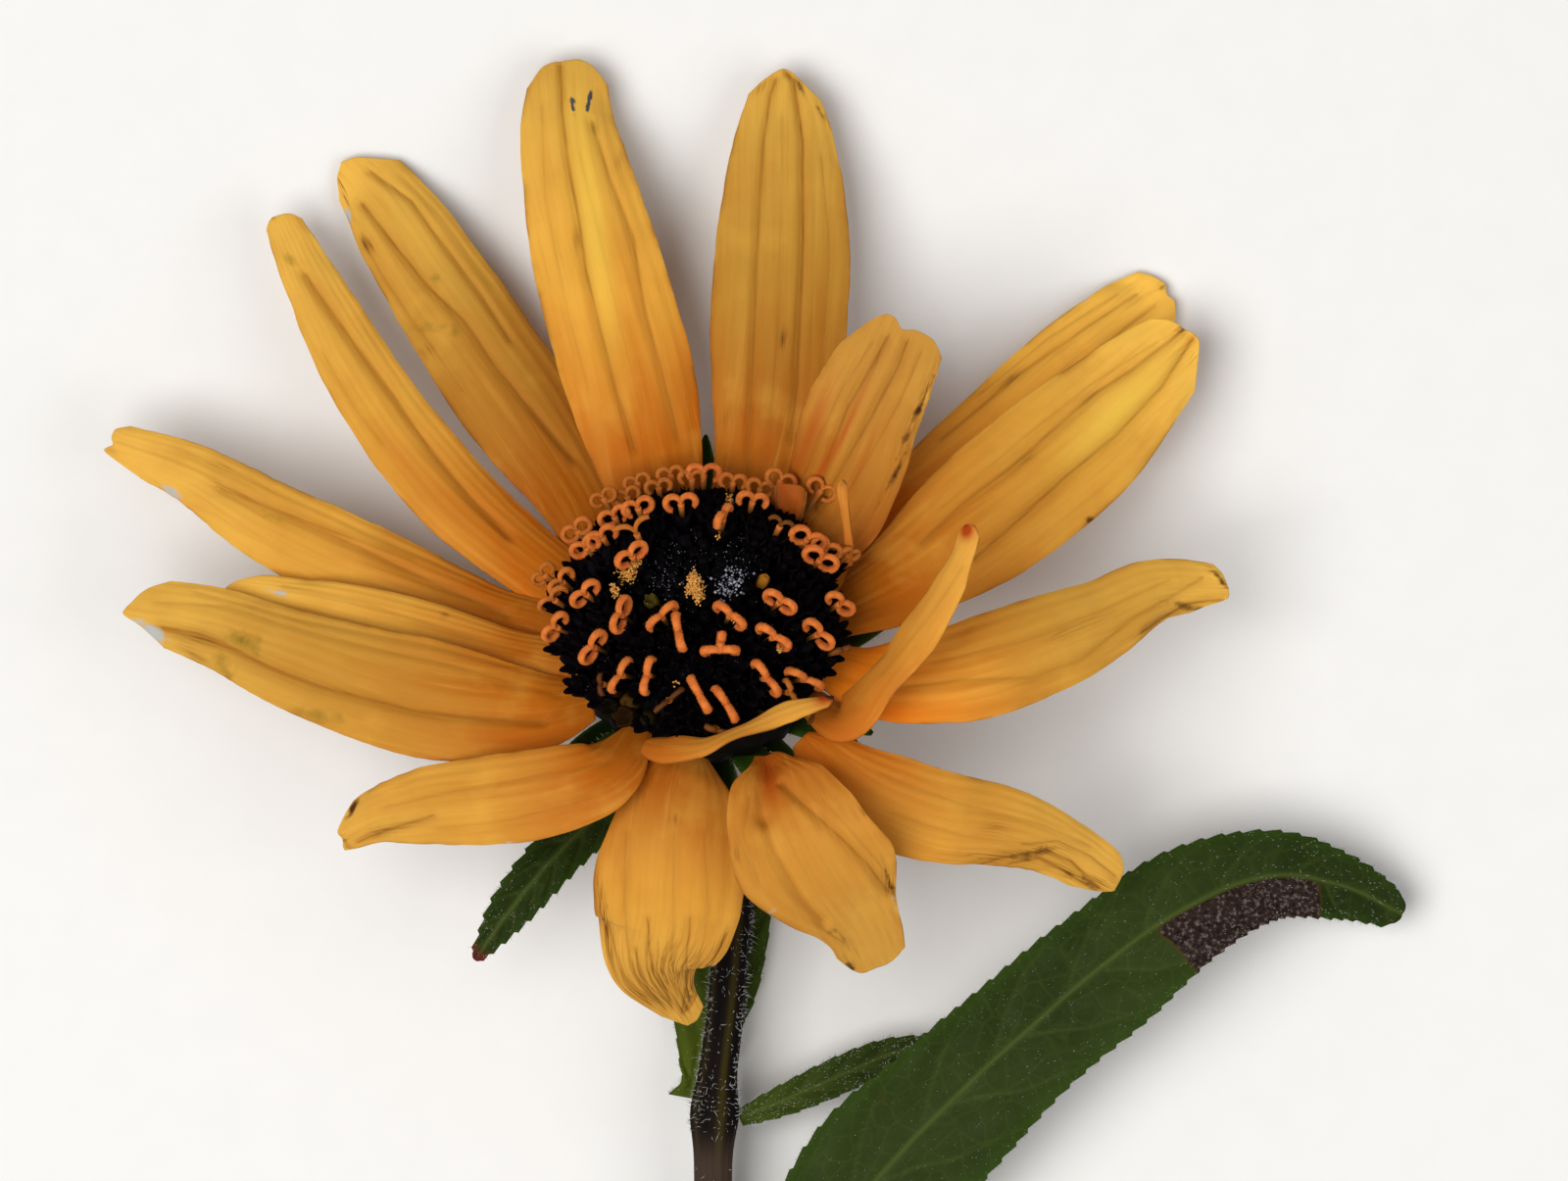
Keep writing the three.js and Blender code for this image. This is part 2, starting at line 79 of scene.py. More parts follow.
# The head: its centre, its lean from upright, and the dome of its disc
HEAD_CENTRE = np.array([0.0, -0.7, 13.0])
HEAD_LEAN = math.radians(35)
DISC_RADIUS = 7.4
DISC_HEIGHT = 3.8
GOLDEN_ANGLE = math.radians(137.508)

# Rays: rows of x, y, z, width and bank from the base to the tip. The end stops short of the last
# row by nine distances, from the left edge to the right one, looking outwards. Left and right
# widen those sides by so much. The setting of painted light and shade darkens the colour as
# painted shade or, below 0, brightens it as painted light, from the base to the tip.
# Shoulder widens the base, camber arches the blade, and warmth turns its colour to orange.
RAYS = {
    "ray_01": dict(
        rows=[(-5.9, -4.7, 14, 1.3, -29), (-9.1, -5.3, 14.4, 4.6, -20), (-13.2, -5, 14, 6.4, -10),
              (-17.6, -3.9, 12.5, 6.1, 0), (-22, -2.3, 10.7, 5.2, 0), (-26.3, -0.7, 8.8, 4.4, 0),
              (-30.6, 0.1, 7.2, 3.4, 0)],
        shoulder=1.0, end=(2, 1.3, 0.6, -0.3, -0.3, 0, 0.3, 0.8, 1.8), dim=(-0.75, 0.65, 0.3),
        left=(0, -0.05, -0.1, 0, 0.2, -0.02, -0.4), right=(0, 0, 0, 0, -0.1, -0.15, 0.1)),
    "ray_02": dict(
        rows=[(-6.3, -3, 12.95, 1.1, -33), (-9.6, -2.3, 12.4, 2.1, -23),
              (-13.3, -1.4, 11.7, 3.1, -11), (-17.2, -0.4, 10.55, 3.3, 0),
              (-21.2, 0.6, 9.1, 2.7, 0), (-25.4, 1.3, 7.6, 1.8, 0)],
        end=(1.3, 0.7, 0.3, 0, -0.1, 0.1, 0.4, 0.9, 1.6),
        left=(0, 0, 0.05, 0.1, 0, 0, 0), right=(0, 0, 0, 0, -0.05, -0.15, 0)),
    "ray_03": dict(
        rows=[(-6.6, -1.2, 11.5, 1.2, -35), (-10.6, -0.1, 10.05, 3.2, -20), (-15, 1.3, 9, 4.6, -10),
              (-19.4, 3, 8.1, 4.7, 0), (-23.6, 5, 7, 4.2, 0), (-27.7, 7.4, 5.5, 3.2, 0),
              (-31.9, 9.1, 4.2, 2.6, 0)],
        end=(2.4, 1, 0, 0.05, 0.3, 0.1, 0.05, 0.15, 0.8),
        left=(0, 0, 0, 0.1, 0, -0.2, -0.3), right=(0, -0.42, -0.3, 0, 0.15, 0.2, -0.1)),
    "ray_04": dict(
        rows=[(-6.1, 0.6, 10.2, 1.2, -32), (-9.4, 3, 8.8, 3.3, -22), (-13, 6, 7.8, 4.1, -11),
              (-16.3, 9.8, 6.6, 4.2, 0), (-18.9, 13.8, 5.2, 3.9, 0), (-21.1, 17.8, 3.8, 2.9, 0),
              (-22.8, 21.3, 2.7, 2, 0)],
        end=(0.4, 0.1, 0, -0.05, 0, 0.05, 0.15, 0.35, 0.75), dim=(-1.1, -0.1, 0.1),
        left=(0, 0.28, 0.2, 0.05, 0, -0.05, -0.1), right=(0, 0.1, 0.12, 0.1, 0, 0.08, 0)),
    "ray_05": dict(
        rows=[(-4.6, 2.5, 9, 1.3, -24), (-6.7, 6.5, 6.8, 4.1, -20), (-9.1, 10.3, 5.4, 5.7, -14),
              (-11.8, 14.2, 4.1, 5.8, -8), (-14.4, 18, 2.8, 5.3, 0), (-17, 21.8, 1.2, 4.6, 0),
              (-18.9, 24.1, 0.14, 3.6, 0)],
        end=(1.7, 0.25, -0.15, -0.5, -0.35, -0.1, 0.6, 1.45, 2.3), dim=(0.25, 0.95, -0.3),
        left=(0, 0.2, 0.36, 0.32, 0.2, 0, -0.45), right=(0, 0, 0, 0, 0.15, 0.12, 0)),
    "ray_06": dict(
        rows=[(-1.8, 3.8, 7.95, 1.3, -10), (-2.8, 8.2, 7.5, 5.5, -7), (-3.8, 12.5, 7.4, 6.9, -3),
              (-4.9, 17, 6.3, 7, 0), (-6.1, 21.6, 4.5, 6.3, 0), (-7, 26, 2.7, 5, 0),
              (-7.2, 29.6, 1.4, 4, 0)],
        end=(1.7, 0.45, 0.1, 0, 0, -0.05, 0.15, 0.65, 1.6), dim=(0.3, -0.8, 0.55),
        left=(0, 0, 0.15, 0.28, 0.3, 0.27, 0), right=(0, 0, 0, -0.12, -0.16, -0.1, 0)),
    "ray_07": dict(
        rows=[(1.9, 3.8, 7.95, 1.3, 10), (3.2, 8, 7.1, 5.4, 7), (3.9, 12, 6.7, 7, 3),
              (4.2, 16.5, 5.8, 7.4, 0), (4.4, 21.2, 4.2, 6.7, 0), (4.4, 25.5, 2.8, 5.1, 0),
              (4.4, 29.1, 1.7, 3, 0)],
        end=(1.4, 0.75, 0.35, 0.05, -0.1, 0.02, 0.5, 1.15, 1.9), dim=(-0.1, 0.85, 0.2),
        left=(0, -0.25, -0.15, 0, 0.14, 0.12, -0.1), right=(0, 0, 0, -0.05, 0.12, 0.15, -0.1)),
    "ray_08": dict(
        rows=[(4.1, 2.9, 8.55, 1.2, 21), (6.2, 5.5, 9.1, 3.8, 12), (7.6, 8, 10.8, 5.8, 4),
              (8.6, 10.4, 11.9, 6.2, 0), (9.8, 12.9, 12.4, 5.8, 0), (10.9, 15.5, 12.4, 4.8, 0)],
        end=(2.4, 0.75, -0.05, -0.08, 0.37, 0.12, 0.12, 0.3, 1), dim=(0.6, 0.87, 0.8), warmth=0.6,
        left=(0, 0, 0, 0, 0, 0), right=(0, 1.1, 0.35, -0.05, -0.12, 0.1)),
    "ray_09": dict(
        rows=[(5.7, 1.4, 9.7, 1.1, 30), (9.5, 4.7, 6.9, 3.5, 20), (12.9, 7.4, 5.6, 4.7, 10),
              (16.3, 10.1, 4.3, 4.9, 0), (19.7, 13, 2.8, 4.8, 0), (22.8, 15.5, 1.1, 4.3, 0),
              (25, 17.1, 0.14, 3.6, 0)],
        end=(0.9, 0.2, -0.15, -0.3, 0.1, -0.1, 0.2, 0.8, 1.6), dim=(-0.5, -1.8, -1),
        left=(0, 0, -0.25, 0.02, 0.2, 0.2, 0), right=(0, 0, 0, 0, 0, 0, 0)),
    "ray_10": dict(
        rows=[(6.5, -0.6, 11.1, 1.1, 34), (10.3, 1.6, 10.2, 4.4, 18), (13.9, 4.3, 9.2, 6.6, 8),
              (17.3, 6.9, 7.9, 7.3, 0), (20.7, 9.7, 6.2, 7, 0), (23.8, 12.6, 4.6, 5.5, 0),
              (26.3, 14.8, 3.4, 3.9, 0)],
        end=(1.3, 0.5, 0.2, 0.05, -0.2, -0.15, 0.45, 1.3, 2.3), dim=(0.5, -0.1, -1.4),
        left=(0, 0, 0, 0, 0, 0, 0), right=(0, 0.2, 0.28, 0.12, 0.12, 0.05, -0.15)),
    "ray_11": dict(
        rows=[(5.7, -4.6, 13.8, 1.1, 30), (7.6, -5.75, 16.3, 2.2, 24), (9.7, -3.7, 17.5, 2.8, 50),
              (11.5, -1.3, 18.2, 3, 50), (13, 1, 18.9, 2.5, 50), (14, 3, 19.4, 1.8, 45),
              (14.6, 4.7, 19.8, 1.2, 40)],
        end=(0.8, 0.45, 0.2, 0.05, 0, 0.05, 0.2, 0.45, 0.8), dim=(-0.3, -0.3),
        warmth=0.5, shoulder=0.6),
    "ray_12": dict(
        rows=[(6.4, -2.6, 12.6, 1.2, 34), (9.5, -3.65, 13.3, 4.0, 23), (13.4, -3.4, 13.2, 5.3, 12),
              (17.2, -2.2, 12.4, 5.6, 0), (21, -0.7, 11, 4.9, 0), (24.6, 0.9, 9.2, 3.8, 0),
              (28.1, 1.1, 7.5, 2.6, 0)],
        end=(0.6, 0.2, 0.05, -0.05, -0.1, -0.1, 0.1, 1.2, 2.2), dim=(-6, 0.15, -0.4), shoulder=1.6,
        left=(0, 0, 0, -0.05, -0.1, 0.1, 0.1), right=(0, 0, 0, -0.05, -0.2, -0.5, -0.45)),
    "ray_13": dict(
        rows=[(5.3, -6.8, 14.75, 1.0, 22), (6.6, -8.0, 14.9, 3.0, 15), (9.5, -9.9, 15.4, 5.1, 8),
              (12.9, -11.2, 15.1, 5.1, 0), (16.3, -11.7, 13.9, 4.4, 0),
              (19.5, -12.8, 12.1, 3.5, 0), (22.3, -14.4, 10.2, 2.6, 0)],
        end=(0.75, 0.3, 0.12, 0.08, 0.05, 0.05, 0.05, 0.65, 2.2), dim=(-1.6, 0, 0),
        warmth=0.2, shoulder=0.3,
        left=(0, 0.3, 0.25, 0.05, 0, 0, 0.1, 0.15, 0.15, 0.1, 0, 0, -0.1),
        right=(0, 0, -0.05, -0.05, -0.08, -0.15, -0.3, -0.35, -0.25, -0.3, -0.15, 0, -0.1)),
    "ray_14": dict(
        rows=[(3.4, -7.5, 15.8, 0.9, 12), (3.65, -8, 16.7, 2.3, 10), (4, -8.9, 17.9, 5.2, 8),
              (4.7, -10.9, 18.9, 7, 4), (5.7, -13.1, 18.9, 7.8, 0), (7.1, -15.4, 17.2, 6.7, 0),
              (8.4, -17.3, 14.9, 4.6, 0), (9.4, -19.1, 12.6, 3.3, 0)],
        end=(0.3, 0, -0.15, -0.15, -0.05, 0, 0.1, 0.6, 1.8), dim=(0.3, 0.3, 0.55),
        camber=-0.12, warmth=0.5, shoulder=0.2,
        left=(0, 0, 0, 0, 0, 0, 0, 0.15, 0.6, 0.5, 0.25, 0.25, 0.1),
        right=(0, 0, 0, 0, 0, 0, 0.1, 0, -0.5, -0.9, -0.8, -0.35, -0.1)),
    "ray_15": dict(
        rows=[(-0.6, -7.6, 15.6, 1.3, 0), (-1, -9.2, 16.1, 4.8, -8), (-1.4, -11.6, 16.5, 7, -7),
              (-1.7, -14.2, 16.2, 8.2, -3), (-1.9, -16.8, 14.9, 7.6, 0),
              (-2.3, -19.2, 12.7, 5.4, 0), (-0.75, -21.85, 10.5, 2.0, 0)],
        end=(0.25, 0.1, -0.05, -0.1, -0.1, -0.1, 0.1, 0.35, 0.8), dim=(1.3, 0, 0.3),
        warmth=0.2, shoulder=0.7,
        left=(0, 0, 0, 0, 0.05, 0.05, 0, -0.1, -0.2, -0.3, -0.2, -0.45, 0),
        right=(0, 0, 0, 0.05, -0.1, -0.1, 0, 0, 0, 0, -0.15, -0.45, -0.3)),
    "ray_16": dict(
        rows=[(-3.2, -6.2, 15.15, 1.1, -17), (-5.1, -8.5, 17.2, 3.7, -12),
              (-8.3, -9.6, 17.5, 4.8, -6), (-11.6, -10.1, 16.4, 4.7, 0),
              (-14.7, -10.4, 14.7, 4.2, 0), (-17.3, -10.9, 12.9, 3.2, 0),
              (-19.3, -11.8, 11.4, 2.2, 0)],
        end=(-0.3, -0.2, 0, 0.1, 0, 0.1, 0.5, 1.1, 2.1), dim=(0, 0.1, 0.2),
        warmth=0.2, shoulder=0.2,
        left=(0, 0.05, 0.02, 0, -0.05, -0.1, -0.1), right=(0, 0, 0, 0.05, 0.05, -0.1, -0.25)),
    "ray_17": dict(
        rows=[(-3, -7.15, 17.6, 1.1, 30), (-1.6, -7.35, 18.8, 2.0, 40), (0.3, -7.25, 19.8, 1.6, 55),
              (2.4, -6.35, 20.4, 1.5, 60), (4.8, -5.3, 20.3, 1.4, 45), (7.1, -4.6, 19.8, 0.8, 40)],
        end=(0.5, 0.3, 0.15, 0.05, 0, 0.05, 0.15, 0.3, 0.5), dim=(-0.4, -0.4),
        warmth=0.5, shoulder=0),
    "ray_18": dict(
        rows=[(7.8, 2.6, 11.4, 0.6, 0), (7.85, 3.9, 12.6, 0.6, 30), (7.7, 5.5, 13.8, 0.5, 40),
              (7.55, 7.1, 14.8, 0.3, 40)],
        end=(0.4, 0.25, 0.1, 0.05, 0, 0.05, 0.1, 0.25, 0.4), warmth=1.3, shoulder=0),
}

# Pleats and wrinkles of the rays: depth and width in millimetres, how dark the painted shade along
# them is, and the pixels that they run through
PLEATS = {
    "ray_01": [(0.3, 0.32, 1.0, (165, 641), (208, 649), (240, 663), (276, 681), (322, 699),
                (376, 713), (429, 727), (501, 736), (554, 738)),
               (0.06, 0.2, 0.35, (161, 615), (233, 620), (340, 652), (447, 677), (572, 713)),
               (0.05, 0.15, 0.3, (200, 604), (300, 632), (420, 655), (520, 680))],
    "ray_02": [(0.06, 0.2, 0.35, (290, 598), (370, 614), (470, 648), (540, 668))],
    "ray_03": [(0.2, 0.32, 0.8, (226, 499), (322, 538), (380, 566), (447, 599), (519, 631)),
               (-0.1, 0.16, 0.0, (120, 454), (179, 474), (269, 516), (376, 556), (420, 575)),
               (0.05, 0.2, 0.3, (190, 462), (300, 512), (420, 566), (500, 600))],
    "ray_04": [(0.28, 0.28, 0.9, (310, 280), (325, 302), (357, 346), (401, 405), (442, 464),
                (481, 511), (520, 550)),
               (0.05, 0.15, 0.35, (330, 362), (342, 384), (369, 428), (389, 452))],
    "ray_05": [(0.18, 0.18, 0.8, (378, 175), (419, 205), (442, 237), (466, 269), (492, 305),
                (520, 350)),
               (0.25, 0.22, 1.0, (369, 208), (401, 249), (436, 293), (472, 328), (510, 384),
                (539, 419), (584, 472)),
               (0.05, 0.15, 0.5, (372, 250), (389, 281), (425, 334), (442, 358), (470, 400)),
               (0.05, 0.15, 0.3, (410, 180), (450, 222), (500, 290))],
    "ray_06": [(0.3, 0.18, 1.0, (571, 66), (573, 114), (580, 170), (591, 225), (599, 281),
                (614, 344), (629, 403), (647, 459)),
               (0.16, 0.24, 0.7, (603, 125), (621, 181), (647, 247), (658, 321), (673, 373),
                (691, 447)),
               (0.04, 0.14, 0.25, (552, 110), (556, 200), (575, 300), (600, 400)),
               (0.04, 0.14, 0.25, (592, 160), (612, 240), (632, 330), (655, 420))],
    "ray_07": [(0.22, 0.18, 0.8, (792, 80), (786, 96), (779, 144), (775, 207), (771, 281),
                (769, 355), (766, 429), (764, 484)),
               (0.25, 0.18, 1.0, (803, 74), (810, 81), (819, 144), (819, 244), (816, 336),
                (814, 392), (808, 450)),
               (0.05, 0.12, 0.3, (798, 120), (797, 220), (793, 330), (788, 440)),
               (0.05, 0.12, 0.35, (838, 160), (846, 250), (842, 340))],
    "ray_08": [(0.22, 0.18, 1.0, (905, 345), (888, 377), (866, 414), (850, 455), (843, 484),
                (836, 518)),
               (0.2, 0.18, 1.0, (925, 350), (917, 373), (891, 421), (866, 466), (843, 510)),
               (0.06, 0.12, 0.5, (940, 360), (918, 410), (890, 460), (868, 500)),
               (0.06, 0.12, 0.5, (890, 350), (860, 395), (838, 440), (825, 480))],
    "ray_09": [(0.12, 0.2, 0.6, (1160, 300), (1100, 340), (1030, 390), (960, 450)),
               (0.1, 0.15, 0.5, (1178, 312), (1110, 365), (1040, 420)),
               (0.05, 0.15, 0.4, (1140, 300), (1070, 345), (1000, 402))],
    "ray_10": [(0.2, 0.22, 0.8, (1205, 339), (1155, 378), (1112, 406), (1066, 446), (1030, 478),
                (980, 517), (941, 556)),
               (0.26, 0.22, 1.0, (1217, 346), (1184, 396), (1137, 446), (1084, 489), (1030, 539),
                (994, 571)),
               (0.05, 0.15, 0.3, (1180, 350), (1110, 395), (1040, 450), (960, 520))],
    "ray_11": [(0.04, 0.12, 0.3, (985, 580), (950, 635), (905, 690))],
    "ray_12": [(0.14, 0.24, 0.55, (912, 706), (980, 696), (1051, 692), (1101, 674), (1155, 631),
                (1191, 610), (1225, 590)),
               (0.1, 0.12, 1.0, (1165, 645), (1180, 635), (1209, 617), (1230, 613), (1246, 612)),
               (0.05, 0.15, 0.3, (950, 680), (1040, 655), (1120, 625), (1190, 592))],
    "ray_13": [(0.12, 0.14, 1.0, (990, 884), (1020, 874), (1064, 866), (1090, 877), (1120, 905)),
               (0.1, 0.12, 0.9, (1030, 880), (1058, 874), (1082, 886), (1108, 902)),
               (0.06, 0.12, 0.7, (1040, 860), (1075, 856), (1110, 872), (1135, 892)),
               (0.06, 0.2, 0.35, (900, 790), (980, 820), (1060, 840), (1110, 862)),
               (0.05, 0.15, 0.3, (910, 830), (980, 852), (1050, 860))],
    "ray_14": [(0.5, 0.55, 0.35, (784, 776), (781, 800), (779, 830)),
               (0.3, 0.3, 0.5, (779, 830), (790, 868), (820, 920), (842, 942)),
               (0.28, 0.22, 0.9, (797, 794), (822, 820), (849, 846), (886, 883), (909, 912)),
               (0.06, 0.14, 0.4, (840, 815), (875, 855), (905, 890)),
               (0.06, 0.14, 0.4, (765, 810), (758, 850), (775, 900))],
    "ray_15": [(0.06, 0.16, 0.4, (640, 850), (638, 920), (648, 990), (660, 1020)),
               (0.05, 0.14, 0.35, (690, 850), (688, 930), (688, 1000), (690, 1025)),
               (0.05, 0.14, 0.35, (720, 850), (724, 920), (712, 990), (698, 1028)),
               (0.1, 0.1, 0.9, (662, 930), (668, 980), (684, 1025)),
               (0.1, 0.1, 0.9, (705, 930), (702, 985), (694, 1028)),
               (0.1, 0.1, 0.9, (742, 950), (725, 985), (702, 1026)),
               (0.08, 0.1, 0.8, (622, 940), (636, 990), (664, 1024)),
               (0.08, 0.1, 0.7, (650, 960), (660, 1005), (678, 1028))],
    "ray_16": [(0.12, 0.14, 0.8, (368, 858), (400, 845), (447, 831)),
               (0.06, 0.2, 0.35, (400, 822), (470, 806), (560, 790), (620, 780)),
               (0.05, 0.15, 0.25, (450, 845), (530, 835), (600, 812))],
}

# The values at vertices that hold the distance from each pleat of a ray, which keep the painted
# shade along the pleats thin at its core
FOLDS = [f"fold_{number}" for number in range(8)]

MARK_KINDS = ("brown", "green", "red", "burnt", "pale", "blue", "light")
# Marks on the rays: what it is, the pixel that it is seen at, its two radii, the turn of the long
# one from the right, and its strength. The light marks are painted highlights.
MARKS = {
    "ray_01": [("pale", 156, 645, 22, 7, -25, 1.1), ("brown", 205, 650, 18, 5, -20, 0.8),
               ("brown", 200, 668, 22, 6, -35, 0.5), ("green", 250, 655, 22, 8, -20, 0.7),
               ("green", 228, 680, 12, 9, -40, 0.6), ("green", 330, 730, 22, 6, -15, 0.6),
               ("brown", 262, 617, 14, 6, 0, 0.35)],
    "ray_02": [("pale", 283, 605, 11, 3, -10, 0.8), ("pale", 232, 594, 8, 3, 20, 0.7),
               ("brown", 455, 628, 4, 3, 0, 0.8)],
    "ray_03": [("pale", 175, 502, 9, 4, -35, 0.9), ("brown", 226, 474, 12, 7, -20, 0.4),
               ("green", 275, 526, 10, 5, -20, 0.5), ("brown", 112, 460, 6, 3, -20, 0.6)],
    "ray_04": [("burnt", 274, 222, 5, 3, 0, 0.9), ("green", 295, 265, 8, 4, -50, 0.4)],
    "ray_05": [("burnt", 348, 192, 18, 2.5, -70, 0.8), ("pale", 354, 219, 10, 2.5, -68, 0.9),
               ("brown", 373, 248, 8, 5, -60, 1.0), ("green", 440, 335, 20, 7, -5, 0.8),
               ("green", 461, 338, 8, 6, 0, 0.6), ("green", 443, 286, 8, 6, -50, 0.6),
               ("brown", 545, 440, 40, 12, -55, 0.12), ("brown", 435, 358, 6, 5, 0, 0.6)],
    "ray_06": [("blue", 584, 108, 11, 2.5, 100, 0.75), ("blue", 600, 103, 10, 2, 80, 0.75),
               ("light", 605, 225, 110, 11, 98, 0.75), ("light", 590, 130, 50, 14, 95, 0.4),
               ("brown", 606, 130, 5, 3, 90, 0.6), ("brown", 630, 165, 9, 4, 75, 0.35),
               ("brown", 587, 246, 12, 6, 80, 0.3)],
    "ray_07": [("brown", 798, 346, 8, 4, 90, 0.9), ("burnt", 817, 88, 9, 3, -55, 0.8),
               ("burnt", 838, 114, 16, 2.5, -58, 0.7), ("brown", 775, 88, 10, 4, 45, 0.5),
               ("brown", 742, 428, 9, 6, 80, 0.35)],
    "ray_08": [("red", 862, 440, 44, 2.5, 64, 0.8), ("red", 838, 480, 30, 2.5, 66, 0.9),
               ("red", 880, 470, 30, 2, 66, 0.6), ("burnt", 940, 412, 46, 3.5, 66, 0.9),
               ("burnt", 912, 487, 34, 3, 62, 0.7),
               ("red", 830, 436, 34, 7, 70, 0.6), ("brown", 892, 372, 18, 3, 60, 0.35),
               ("red", 808, 470, 26, 6, 72, 0.4)],
    "ray_09": [("brown", 1030, 388, 16, 4, 40, 0.5), ("burnt", 1189, 292, 5, 4, 0, 0.6),
               ("pale", 1108, 305, 6, 3, 30, 0.7)],
    "ray_10": [("burnt", 1208, 334, 9, 5, 30, 0.9), ("burnt", 1219, 366, 6, 3, 60, 0.6),
               ("burnt", 1113, 531, 5, 3, 0, 0.9), ("brown", 1112, 404, 9, 3, 40, 0.5),
               ("brown", 1045, 468, 12, 5, 35, 0.35), ("light", 1140, 420, 60, 14, 42, 0.8)],
    "ray_11": [("red", 987, 541, 9, 7, 75, 1.4), ("burnt", 985, 536, 3, 3, 75, 0.8),
               ("brown", 898, 672, 10, 4, 30, 0.5)],
    "ray_12": [("burnt", 1222, 621, 30, 4, -12, 0.8), ("burnt", 1243, 590, 20, 3, -50, 0.7),
               ("brown", 1186, 632, 40, 6, 28, 0.45), ("brown", 1100, 640, 40, 6, 18, 0.3),
               ("pale", 1105, 632, 9, 3, 25, 0.5)],
    "ray_13": [("burnt", 1100, 895, 34, 7, -28, 0.8), ("burnt", 1062, 868, 26, 6, 10, 0.7),
               ("brown", 1010, 874, 40, 6, 0, 0.7), ("brown", 1130, 902, 20, 6, -10, 0.5),
               ("brown", 1015, 843, 16, 8, 0, 0.3)],
    "ray_14": [("burnt", 866, 985, 10, 5, -60, 0.9), ("burnt", 856, 955, 22, 5, -40, 0.5),
               ("red", 785, 796, 24, 8, -85, 0.75), ("brown", 880, 828, 10, 6, 0, 0.4),
               ("pale", 786, 930, 6, 2, 40, 0.5), ("burnt", 907, 900, 18, 4, -70, 0.9),
               ("pale", 911, 918, 12, 3, -75, 0.6), ("brown", 754, 872, 12, 6, -60, 0.35)],
    "ray_15": [("brown", 688, 836, 7, 5, 0, 0.6), ("brown", 668, 1016, 40, 10, -10, 0.9),
               ("brown", 728, 975, 34, 5, 55, 0.9), ("brown", 620, 950, 50, 5, -78, 0.9),
               ("brown", 680, 1000, 60, 34, 0, 0.7), ("burnt", 700, 1022, 20, 5, 70, 0.6)],
    "ray_16": [("burnt", 361, 826, 12, 3, 60, 0.8), ("burnt", 352, 856, 12, 4, -50, 0.5),
               ("brown", 400, 845, 34, 4, 12, 0.5), ("pale", 520, 859, 14, 3, 0, 0.6)],
    "ray_17": [("red", 842, 712, 11, 8, 20, 1.3), ("burnt", 848, 709, 8, 8, 20, 1.5)],
    "ray_18": [("brown", 860, 493, 3, 4, 0, 0.7), ("brown", 855, 520, 3, 6, 90, 0.4)],
}

# Styles: the pixel where the two arms part, the direction in which they part, the radius of
# their roll, how far they turn, and how fresh they are, from 0, brown, to 1. On the styles at
# the back the brown is partly withering and partly painted shade.
STYLES = [
    (589, 541, 15, 0.42, 330, 0.75), (598, 558, 10, 0.42, 320, 0.9), (615, 548, 5, 0.45, 240, 0.9),
    (645, 567, 40, 0.46, 300, 1.0), (650, 545, 12, 0.95, 110, 0.5), (627, 527, 8, 0.42, 290, 0.8),
    (651, 518, 12, 0.42, 290, 0.9), (695, 514, -12, 0.44, 240, 1.0),
    (684, 484, 10, 0.36, 250, 0.5), (706, 488, 15, 0.36, 250, 0.6),
    (718, 484, -25, 0.46, 230, 1.0), (616, 508, 15, 0.36, 300, 0.45),
    (650, 492, 5, 0.36, 250, 0.45), (598, 606, 38, 0.44, 290, 0.95),
    (566, 612, 15, 0.5, 200, 0.55), (574, 594, 45, 0.42, 250, 0.7),
    (555, 586, 15, 0.36, 260, 0.45), (568, 640, 40, 0.44, 280, 0.9),
    (634, 627, 75, 0.5, 300, 0.95), (606, 660, 50, 0.5, 280, 0.95), (635, 689, 60, 0.55, 210, 0.8),
    (662, 689, 75, 0.52, 230, 0.95), (693, 645, 100, 0.55, 200, 1.0),
    (676, 629, 40, 0.52, 220, 0.9), (683, 714, 38, 0.62, 150, 0.1),
    (714, 708, 123, 0.56, 200, 1.0), (741, 717, 122, 0.58, 200, 0.95),
    (735, 663, 0, 0.5, 240, 1.0), (745, 628, -38, 0.5, 240, 1.0), (789, 650, -26, 0.52, 250, 1.0),
    (796, 614, -28, 0.46, 300, 1.0), (835, 647, -38, 0.5, 280, 0.95),
    (857, 616, -15, 0.42, 300, 0.9), (781, 692, -52, 0.58, 250, 0.95),
    (820, 693, -20, 0.6, 220, 0.8), (805, 706, -60, 0.42, 190, 0.4),
    (732, 744, -10, 0.4, 160, 0.3), (856, 664, 10, 0.36, 160, 0.3), (824, 550, 6, 0.5, 310, 0.95),
    (837, 571, -8, 0.5, 330, 1.0), (843, 559, 0, 0.42, 330, 0.8), (738, 529, 70, 0.5, 190, 0.9),
    (768, 512, 30, 0.42, 230, 0.95), (797, 490, 10, 0.42, 260, 0.6),
    (838, 500, 30, 0.42, 280, 0.6), (796, 537, 0, 0.42, 150, 0.3), (776, 498, -20, 0.38, 260, 0.6),
    (615, 698, 100, 0.36, 150, 0.2), (640, 506, 30, 0.36, 250, 0.5),
    (748, 492, 20, 0.38, 240, 0.7), (672, 497, 0, 0.36, 250, 0.55), (735, 655, 88, 0.34, 150, 1.0),
    (827, 727, 60, 0.34, 170, 0.1), (866, 565, 30, 0.36, 250, 0.45),
]
# How far over the dome a style forks
POST_LIFT = 1.8

# Pollen: the pixel, the two radii and the number of grains of each cluster
POLLEN = [(642, 581, 9, 9, 300), (648, 574, 6, 5, 110), (628, 602, 5, 6, 60), (708, 590, 6, 6, 140),
          (709, 600, 7, 7, 220), (713, 609, 5, 5, 80), (745, 511, 4, 5, 60), (742, 522, 3, 7, 50),
          (748, 532, 5, 4, 40), (733, 545, 3, 4, 25), (796, 662, 3, 4, 14), (752, 633, 4, 3, 12),
          (690, 696, 6, 3, 6)]
